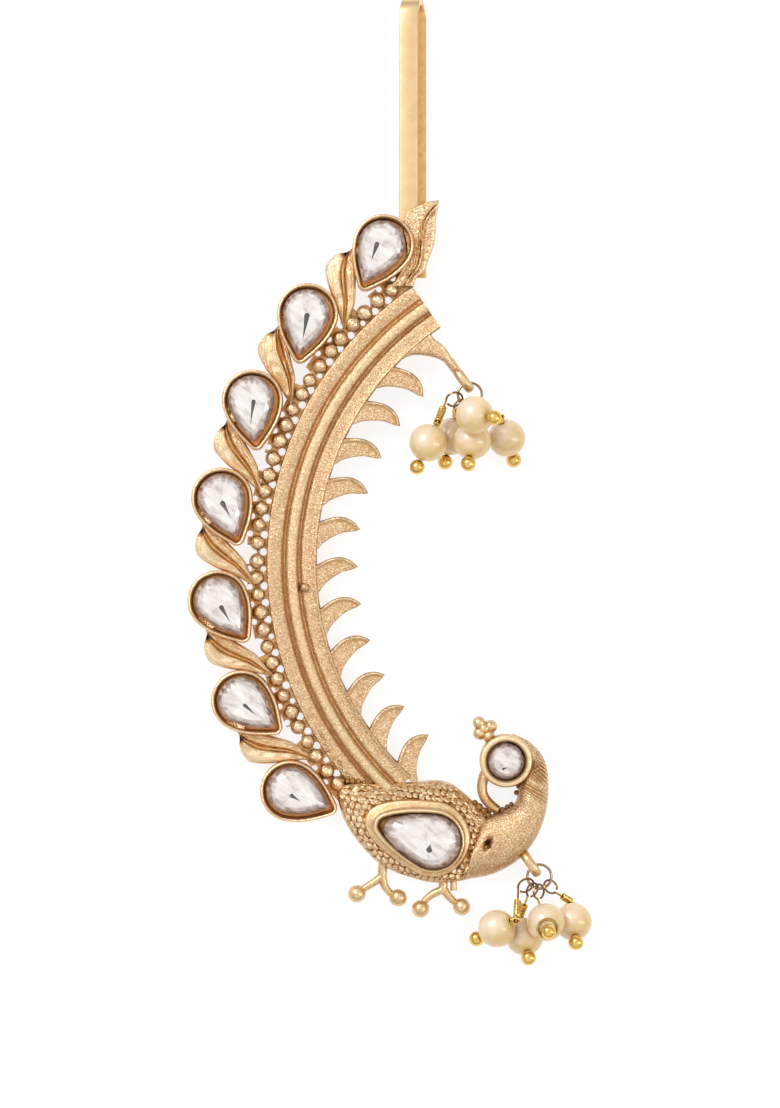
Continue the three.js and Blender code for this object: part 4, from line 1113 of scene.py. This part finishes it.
def make_neck():
    shell = Shell()

    def relief(share, along, width, plan):
        crown = 1.45 * np.sqrt(np.clip(1 - (2 * share - 1) ** 2, 0, 1)) * np.clip(width / 3.0, 0.5, 1.1)
        ringed = np.exp(-((along - 0.612) / 0.04) ** 2)
        rings = np.sin(along * 2 * math.pi * 52)
        plume = np.exp(-((along - 0.735) / 0.07) ** 4) * np.clip(share * 3.5 - 0.6, 0, 1)
        slits = np.sin((along * 44 + share * 4) * 2 * math.pi)
        rise = 0.07 * rings * ringed + 0.1 * slits * plume
        # The second value paints shade in the grooves between the rings, in the plume's slits and in the
        # pit.
        painted_shading_and_tarnish = 0.55 * np.clip(-rings, -0.6, 1) * ringed + 0.6 * np.clip(-slits, -0.6, 1) * plume
        offset = plan - NECK_PIT
        pit = np.exp(-((offset[..., 0] - 0.4 * offset[..., 1]) / 0.3) ** 2 - (offset[..., 1] / 0.5) ** 2)
        return crown + rise - 1.2 * pit, painted_shading_and_tarnish + 1.2 * pit
    strip(shell, smooth(NECK_INNER, 300), smooth(NECK_OUTER, 300), 1.15, 0.3, 34, relief=relief)
    # The burrs are darkened all over, with painted shade on their lower parts.
    for x, y, radius in BURRS:
        ball(shell, (x, y, 0.9), radius, 7, 9, shade_below=1.0, painted_shading_and_tarnish=0.8)
    shell.piece("peacock_neck", GILT, *CASTING)


HEAD_PROFILE = [
    # radius, z, painted shading: painted shade down the walls, a painted highlight on the rim
    (2.62, 0.0, 0.5), (2.62, 2.4, 0.35), (2.59, 2.66, 0.1), (2.48, 2.84, -0.3), (2.32, 2.9, -0.6),
    (2.15, 2.88, -0.3), (2.03, 2.76, 0.1), (1.96, 2.56, 0.35), (1.91, 2.1, 0.45), (1.87, 1.4, 0.5),
]


def beak_relief(share, along, width, plan):
    edges = ridge(share * width, 0.3) + ridge((1 - share) * width, 0.3)
    # The second value paints shade along both edges, darker towards the lower end.
    return 0.3 * np.sin(share * math.pi), 0.55 * edges + 0.35 * along


def make_head():
    shell = Shell()
    outlines = [circle(56) * radius + HEAD for radius in column(HEAD_PROFILE, 0)]
    loft(shell, levels(outlines, column(HEAD_PROFILE, 1)), column(HEAD_PROFILE, 2))
    strip(shell, smooth(BEAK_INNER, 30), smooth(BEAK_OUTER, 30), np.linspace(1.5, 1.2, 30), 0.2, 14,
          relief=beak_relief)
    # The crest balls get painted shade on their lower parts, and the crest's stem a little painted shade.
    for x, y in CREST_BALLS:
        ball(shell, (x, y, 0.75), CREST_RADIUS, shade_below=0.8)
    tube(shell, smooth([(-12.0, -16.2, 0.5), (-11.6, -17.2, 0.6), (-11.0, -18.3, 0.8)], 12), 0.42, 10, 0.3)
    shell.piece("peacock_head", SMOOTH_GILT, *CASTING)
    count = 16
    corners = [polar(HEAD_STONE_RADIUS, 360 * (side + 0.5) / count) for side in range(count)]
    outline = np.array(corners) + HEAD
    shell = Shell()
    middle = np.array(HEAD)
    stone(shell, outline, middle, HEAD_STONE_FOOT, HEAD_STONE_TOP, HEAD_STONE_SEED, 0.9)
    stone_mark(shell, middle - (0.3, 0.75), 20.0, 0.13, 0.5, HEAD_STONE_TOP)
    shell.piece("head_stone_cut", CRYSTAL, "crystal", ["head_stone"], sharp=4.0)


# The feet: a stem, then toes that end in balls
FEET = [
    {"stem": [(-21.9, -29.6), (-21.95, -30.7), (-22.0, -31.6)],
     "toes": [[(-22.0, -31.3), (-23.0, -32.0), (-23.8, -32.5), (-24.5, -33.0)],
              [(-22.0, -31.2), (-21.7, -32.3), (-21.1, -33.0), (-20.4, -33.4)]]},
    {"stem": [(-15.9, -31.2), (-15.9, -32.1), (-15.95, -32.9)],
     "toes": [[(-15.95, -32.6), (-17.0, -33.1), (-17.7, -33.7), (-18.15, -34.5)],
              [(-15.95, -32.4), (-15.4, -33.2), (-14.8, -33.8), (-14.05, -34.3)]]},
]
STUB = [(-14.85, -31.3), (-14.85, -32.7)]
STEM_RADIUS = 0.46
STEM_HEIGHT = 0.6
TOE_HEIGHT = 0.62
TOE_RADII = (0.44, 0.33)


def make_feet():
    shell = Shell()
    # Stems, toes and the stub get a little painted shade, and the foot balls painted shade on their lower
    # parts.
    for foot in FEET:
        stem = smooth([(x, y, STEM_HEIGHT) for x, y in foot["stem"]], 10)
        tube(shell, stem, STEM_RADIUS, 12, 0.15)
        for toe in foot["toes"]:
            line = smooth([(x, y, TOE_HEIGHT) for x, y in toe], 16)
            tube(shell, line, np.linspace(*TOE_RADII, 16), 12, 0.12)
            ball(shell, (*toe[-1], 0.88), FOOT_BALL_RADIUS, 14, 22, shade_below=0.35)
    tube(shell, smooth([(x, y, STEM_HEIGHT) for x, y in STUB], 6), 0.34, 10, 0.2)
    shell.piece("feet", SMOOTH_GILT, *CASTING)


# The clip strip: up behind the first cup, over in a bend and down again
CLIP_WIDTH = 1.9
CLIP_THICKNESS = 0.8
CLIP_GAP = 2.1
CLIP_PINCH = 0.9
CLIP_HEIGHT = 26.8
CLIP_SHIFT = 0.85
CLIP_SINK = 0.1


def make_clip():
    first = polar(CUP_CIRCLE, FIRST_CUP)
    middle_x = first[0] + 0.82 * CUP_RADIUS
    foot = first[1] - 0.69 * CUP_RADIUS
    end = first[1] - CUP_RADIUS
    bend = (CLIP_GAP + CLIP_THICKNESS) / 2
    top = foot + CLIP_HEIGHT - bend
    front = CLIP_SINK - CLIP_THICKNESS / 2
    spine = [(foot + (top - foot) * k / 12, front, 0.0, 0.0) for k in range(12)]
    for k in range(25):
        turn = math.pi * k / 24
        place = (top + bend * math.sin(turn), front - bend + bend * math.cos(turn))
        spine.append((*place, CLIP_SHIFT * k / 24, turn))
    back = front - CLIP_THICKNESS - CLIP_PINCH
    for k in range(1, 13):
        share = k / 12
        spine.append((top + (end - top) * share, front - 2 * bend + (back - front + 2 * bend) * share,
                      CLIP_SHIFT, math.pi))
    corner = 0.14
    half_w, half_t = CLIP_WIDTH / 2, CLIP_THICKNESS / 2
    section = []
    for sign_a, sign_o, start in ((-1, -1, 180), (1, -1, 270), (1, 1, 0), (-1, 1, 90)):
        for step in range(4):
            a, o = polar(corner, start + 30 * step)
            section.append((sign_a * (half_w - corner) + a, sign_o * (half_t - corner) + o))
    rings = []
    for y, z, shift, tilt in spine:
        rings.append([(middle_x + shift + across, y + out * math.sin(tilt), z + out * math.cos(tilt))
                      for across, out in section])
    shell = Shell()
    # Painted shade on the back half of the bend and on the rear leg, towards CLIP_GILT's amber.
    painted_shading_and_tarnish = np.array([0.02 if tilt < 1.6 else 0.45 for y, z, shift, tilt in spine])
    loft(shell, rings, painted_shading_and_tarnish)
    shell.piece("clip_strip", CLIP_GILT, *CASTING)


# The drops: the way from each pearl to its pin's ball, where its loop hangs on the ring, how far the
# loop leans to the front, and how big the loop is
DROPS = {
    "upper": [
        {"ball": (-0.41, -0.91, 0), "hang": 196, "lean": -52, "size": 1.15},
        {"ball": (0.7, -0.13, 0.7), "hang": 254, "lean": -48, "size": 1},
        {"ball": (-0.22, -0.96, -0.17), "hang": 230, "lean": -48, "size": 1},
        {"ball": (0.28, -0.8, -0.5), "hang": 303, "lean": -48, "size": 1},
        {"ball": (-0.16, -0.87, 0.47), "hang": 278, "lean": -48, "size": 1},
    ],
    "lower": [
        {"ball": (-0.74, -0.43, -0.51), "hang": 213, "lean": -50, "size": 1.15},
        {"ball": (0.13, -0.74, 0.66), "hang": 242, "lean": -46, "size": 1},
        {"ball": (0.07, -0.27, 0.96), "hang": 268, "lean": -46, "size": 1, "cap": 0.98},
        {"ball": (0.08, -0.72, 0.69), "hang": 318, "lean": -50, "size": 1},
    ],
}
LOOP_RADIUS = 0.72
LOOP_WIRE = 0.22
LINK_PLAY = 0.1
WRAP_RADIUS = 0.28
WRAP_STEPS = 12
RING_WIRE = 0.28
# The way towards the key light, which sets the pearls' painted highlight and painted shade.
KEY_LIGHT_WAY = np.array((-0.5, 0.5, 0.71))
BALL_GAP = 0.02


def drilled_pearl(shell, centre, way):
    """A pearl turned about its drilled hole, darker at the two mouths, with painted shade on the side away
    from the key light and a painted highlight on the side towards it.
    """
    mouth = 0.3
    profile = []
    for step in range(25):
        turn = math.asin(mouth / PEARL_RADIUS) + (math.pi - 2 * math.asin(mouth / PEARL_RADIUS)) * step / 24
        profile.append((PEARL_RADIUS * math.sin(turn), -PEARL_RADIUS * math.cos(turn)))
    spin = np.array(Vector((0, 0, 1)).rotation_difference(Vector(way)).to_matrix())
    sides = 36
    ring = circle(sides)
    rings = []
    painted_shading_and_tarnish = []
    for radius, z in profile:
        place = np.column_stack([ring * radius, np.full(sides, z)]) @ spin.T
        facing = place @ KEY_LIGHT_WAY / PEARL_RADIUS
        mouth_darkening = 0.8 if radius < 0.45 else 0.25 if radius < 0.7 else 0.0
        rings.append(place + centre)
        # Painted shade away from the key light, darker at the mouths, and a painted highlight facing the
        # light.
        painted_shading_and_tarnish.append(np.clip(0.45 - facing, 0, 1) * 0.6 + mouth_darkening - np.clip((facing - 0.5) / 0.5, 0, 1))
    loft(shell, rings, np.array(painted_shading_and_tarnish), closed=True)


def wrap(shell, line):
    """The wire's end, wound closely round its own shank all along a line."""
    line = smooth(line, 60)
    length = np.linalg.norm(np.diff(line, axis=0), axis=1).sum()
    count = max(3, round(length / LOOP_WIRE)) * WRAP_STEPS
    line = smooth(line, count + 1)
    heading = np.gradient(line, axis=0)
    heading /= np.linalg.norm(heading, axis=1)[:, None]
    side = np.cross(heading[0], (0.2, 0.9, 0.3))
    coil = []
    for step, (place, way) in enumerate(zip(line, heading)):
        side = side - way * (side @ way)
        side /= np.linalg.norm(side)
        turn = 2 * math.pi * step / WRAP_STEPS
        coil.append(place + WRAP_RADIUS * (math.cos(turn) * side + math.sin(turn) * np.cross(way, side)))
    tube(shell, coil, LOOP_WIRE / 2, 8, 0.1)


def pin(shell, drop, ring, centre, way):
    outwards = np.append(polar(1, drop["hang"]), 0.0)
    sideways = np.array((-outwards[1], outwards[0], 0.0))
    lean = math.radians(drop["lean"])
    standing = np.array((0, 0, math.cos(lean))) + sideways * math.sin(lean)
    loop = LOOP_RADIUS * drop["size"]
    eye = ring + outwards * (JUMP_RADIUS + loop - (LOOP_WIRE + JUMP_WIRE) / 2 - LINK_PLAY)
    turns = np.linspace(math.radians(12), math.radians(338), 36)
    opened = eye + loop * (np.cos(turns)[:, None] * outwards + np.sin(turns)[:, None] * standing)
    ball_reach = PEARL_RADIUS + PIN_BALL_RADIUS + BALL_GAP
    ball(shell, centre + way * ball_reach, PIN_BALL_RADIUS, 16, 26, axis=way)
    neck = centre - way * (PEARL_RADIUS + 0.05)
    side = np.cross(way, (0.2, 0.9, 0.3))
    side /= np.linalg.norm(side)
    other = np.cross(way, side)
    if "cap" in drop:
        around = np.linspace(0, 2 * math.pi, 40, endpoint=False)[:, None]
        seat = centre + way * math.sqrt((PEARL_RADIUS + 0.12) ** 2 - drop["cap"] ** 2)
        circle = seat + drop["cap"] * (np.cos(around) * side + np.sin(around) * other)
        tube(shell, circle, 0.13, 8, 0.35, closed=True)
    # The cap above, the shank and most of all the open loop get painted shade.
    shank = smooth([neck, neck - way * 0.3, neck - way * 0.7, opened[0]], 24)
    wrap(shell, shank[:16])
    tube(shell, [centre + way * PEARL_RADIUS, centre, neck], LOOP_WIRE / 2, 8, 0.1)
    tube(shell, shank, LOOP_WIRE / 2, 8, 0.3)
    tube(shell, opened, LOOP_WIRE / 2, 8, 0.75)


def make_drops():
    for prefix, drops in DROPS.items():
        ring = centre_of(f"{prefix}_jump_ring")
        turns = np.linspace(0, 2 * math.pi, 48, endpoint=False)
        line = ring + JUMP_RADIUS * np.column_stack([np.cos(turns), np.sin(turns), np.zeros(48)])
        shell = Shell()
        # The jump ring's wire gets painted shade on top of its darker gilt.
        tube(shell, line, RING_WIRE / 2, 10, 0.3, closed=True)
        shell.piece(f"{prefix}_ring_wire", WIRE_GILT, "bright_gilt", [f"{prefix}_jump_ring"])
        for index, drop in enumerate(drops):
            centre = centre_of(f"{prefix}_pearl_{index + 1}")
            way = np.array(drop["ball"], float)
            way /= np.linalg.norm(way)
            shell = Shell()
            drilled_pearl(shell, centre, way)
            node = f"{prefix}_pearl_{index + 1}"
            shell.piece(f"{node}_bead", PEARL, "pearl", [node])
            shell = Shell()
            pin(shell, drop, ring, centre, way)
            node = f"{prefix}_pin_{index + 1}"
            shell.piece(f"{node}_wire", BALL_GILT, "bright_gilt", [node])


# Camera, floor and light
VIEW_CENTRE = (-21.2, 0.9)
VIEW_HEIGHT = 110.8
VIEW_DISTANCE = 420.0
SENSOR = 36.0
LIGHTS = [
    # name, place and size in millimetres, watts
    ("key", (-200, 190, 300), (200, 200), 0.75),
    ("fill", (300, -60, 240), (60, 300), 0.3),
]


def make_camera():
    data = bpy.data.cameras.new("camera")
    data.sensor_width = SENSOR
    data.lens = SENSOR * VIEW_DISTANCE / VIEW_HEIGHT
    data.clip_start = 0.01
    data.clip_end = 10.0
    camera = bpy.data.objects.new("camera", data)
    place = CUFF @ Vector((*VIEW_CENTRE, VIEW_DISTANCE))
    camera.matrix_world = Matrix.Translation(place) @ CUFF.to_quaternion().to_matrix().to_4x4()
    bpy.context.scene.collection.objects.link(camera)
    bpy.context.scene.camera = camera


def area_light(name, place_mm, size_mm, power):
    data = bpy.data.lights.new(name, "AREA")
    data.shape = "RECTANGLE"
    data.size = size_mm[0] * MM
    data.size_y = size_mm[1] * MM
    data.energy = power
    light = bpy.data.objects.new(name, data)
    light.location = Vector(place_mm) * MM
    light.rotation_mode = "QUATERNION"
    light.rotation_quaternion = (-light.location).to_track_quat("-Z", "Y")
    bpy.context.scene.collection.objects.link(light)


def make_stage():
    mesh = bpy.data.meshes.new("floor")
    half = 1.2
    corners = [(-half, -half, 0), (half, -half, 0), (half, half, 0), (-half, half, 0)]
    mesh.from_pydata(corners, [], [[0, 1, 2, 3]])
    g = Graph("floor_white")
    tint = g.fit(g.noise(60.0), 0.3, 0.7)
    color = g.mix(tint, (0.23, 0.23, 0.23, 1), (0.25, 0.25, 0.25, 1))
    mesh.materials.append(g.finish(Base_Color=color, Roughness=0.9, Emission_Color=(1, 1, 1, 1),
                                   Emission_Strength=0.8))
    floor = bpy.data.objects.new("floor", mesh)
    bpy.context.scene.collection.objects.link(floor)
    make_sky()
    for name, place, size, power in LIGHTS:
        area_light(name, place, size, power)
    bpy.context.scene.view_settings.view_transform = "Standard"


def make_sky():
    """A pale studio dome, brightest overhead and darker towards its foot."""
    world = bpy.data.worlds.new("studio")
    world.use_nodes = True
    tree = world.node_tree
    way = tree.nodes.new("ShaderNodeTexCoord")
    parts = tree.nodes.new("ShaderNodeSeparateXYZ")
    tree.links.new(way.outputs["Generated"], parts.inputs[0])
    height = tree.nodes.new("ShaderNodeMapRange")
    height.interpolation_type = "SMOOTHSTEP"
    tree.links.new(parts.outputs["Z"], height.inputs["Value"])
    for key, number in (("From Min", 0.0), ("From Max", 0.8), ("To Min", 0.42), ("To Max", 1.0)):
        height.inputs[key].default_value = number
    background = tree.nodes["Background"]
    background.inputs["Color"].default_value = (1.0, 0.985, 0.96, 1)
    tree.links.new(height.outputs["Result"], background.inputs["Strength"])
    bpy.context.scene.world = world


make_camera()
make_band()
make_barbs()
make_horn()
make_cups()
make_gallery()
make_leaves()
make_finial()
make_body()
make_body_stone()
make_neck()
make_head()
make_feet()
make_clip()
make_drops()
make_stage()
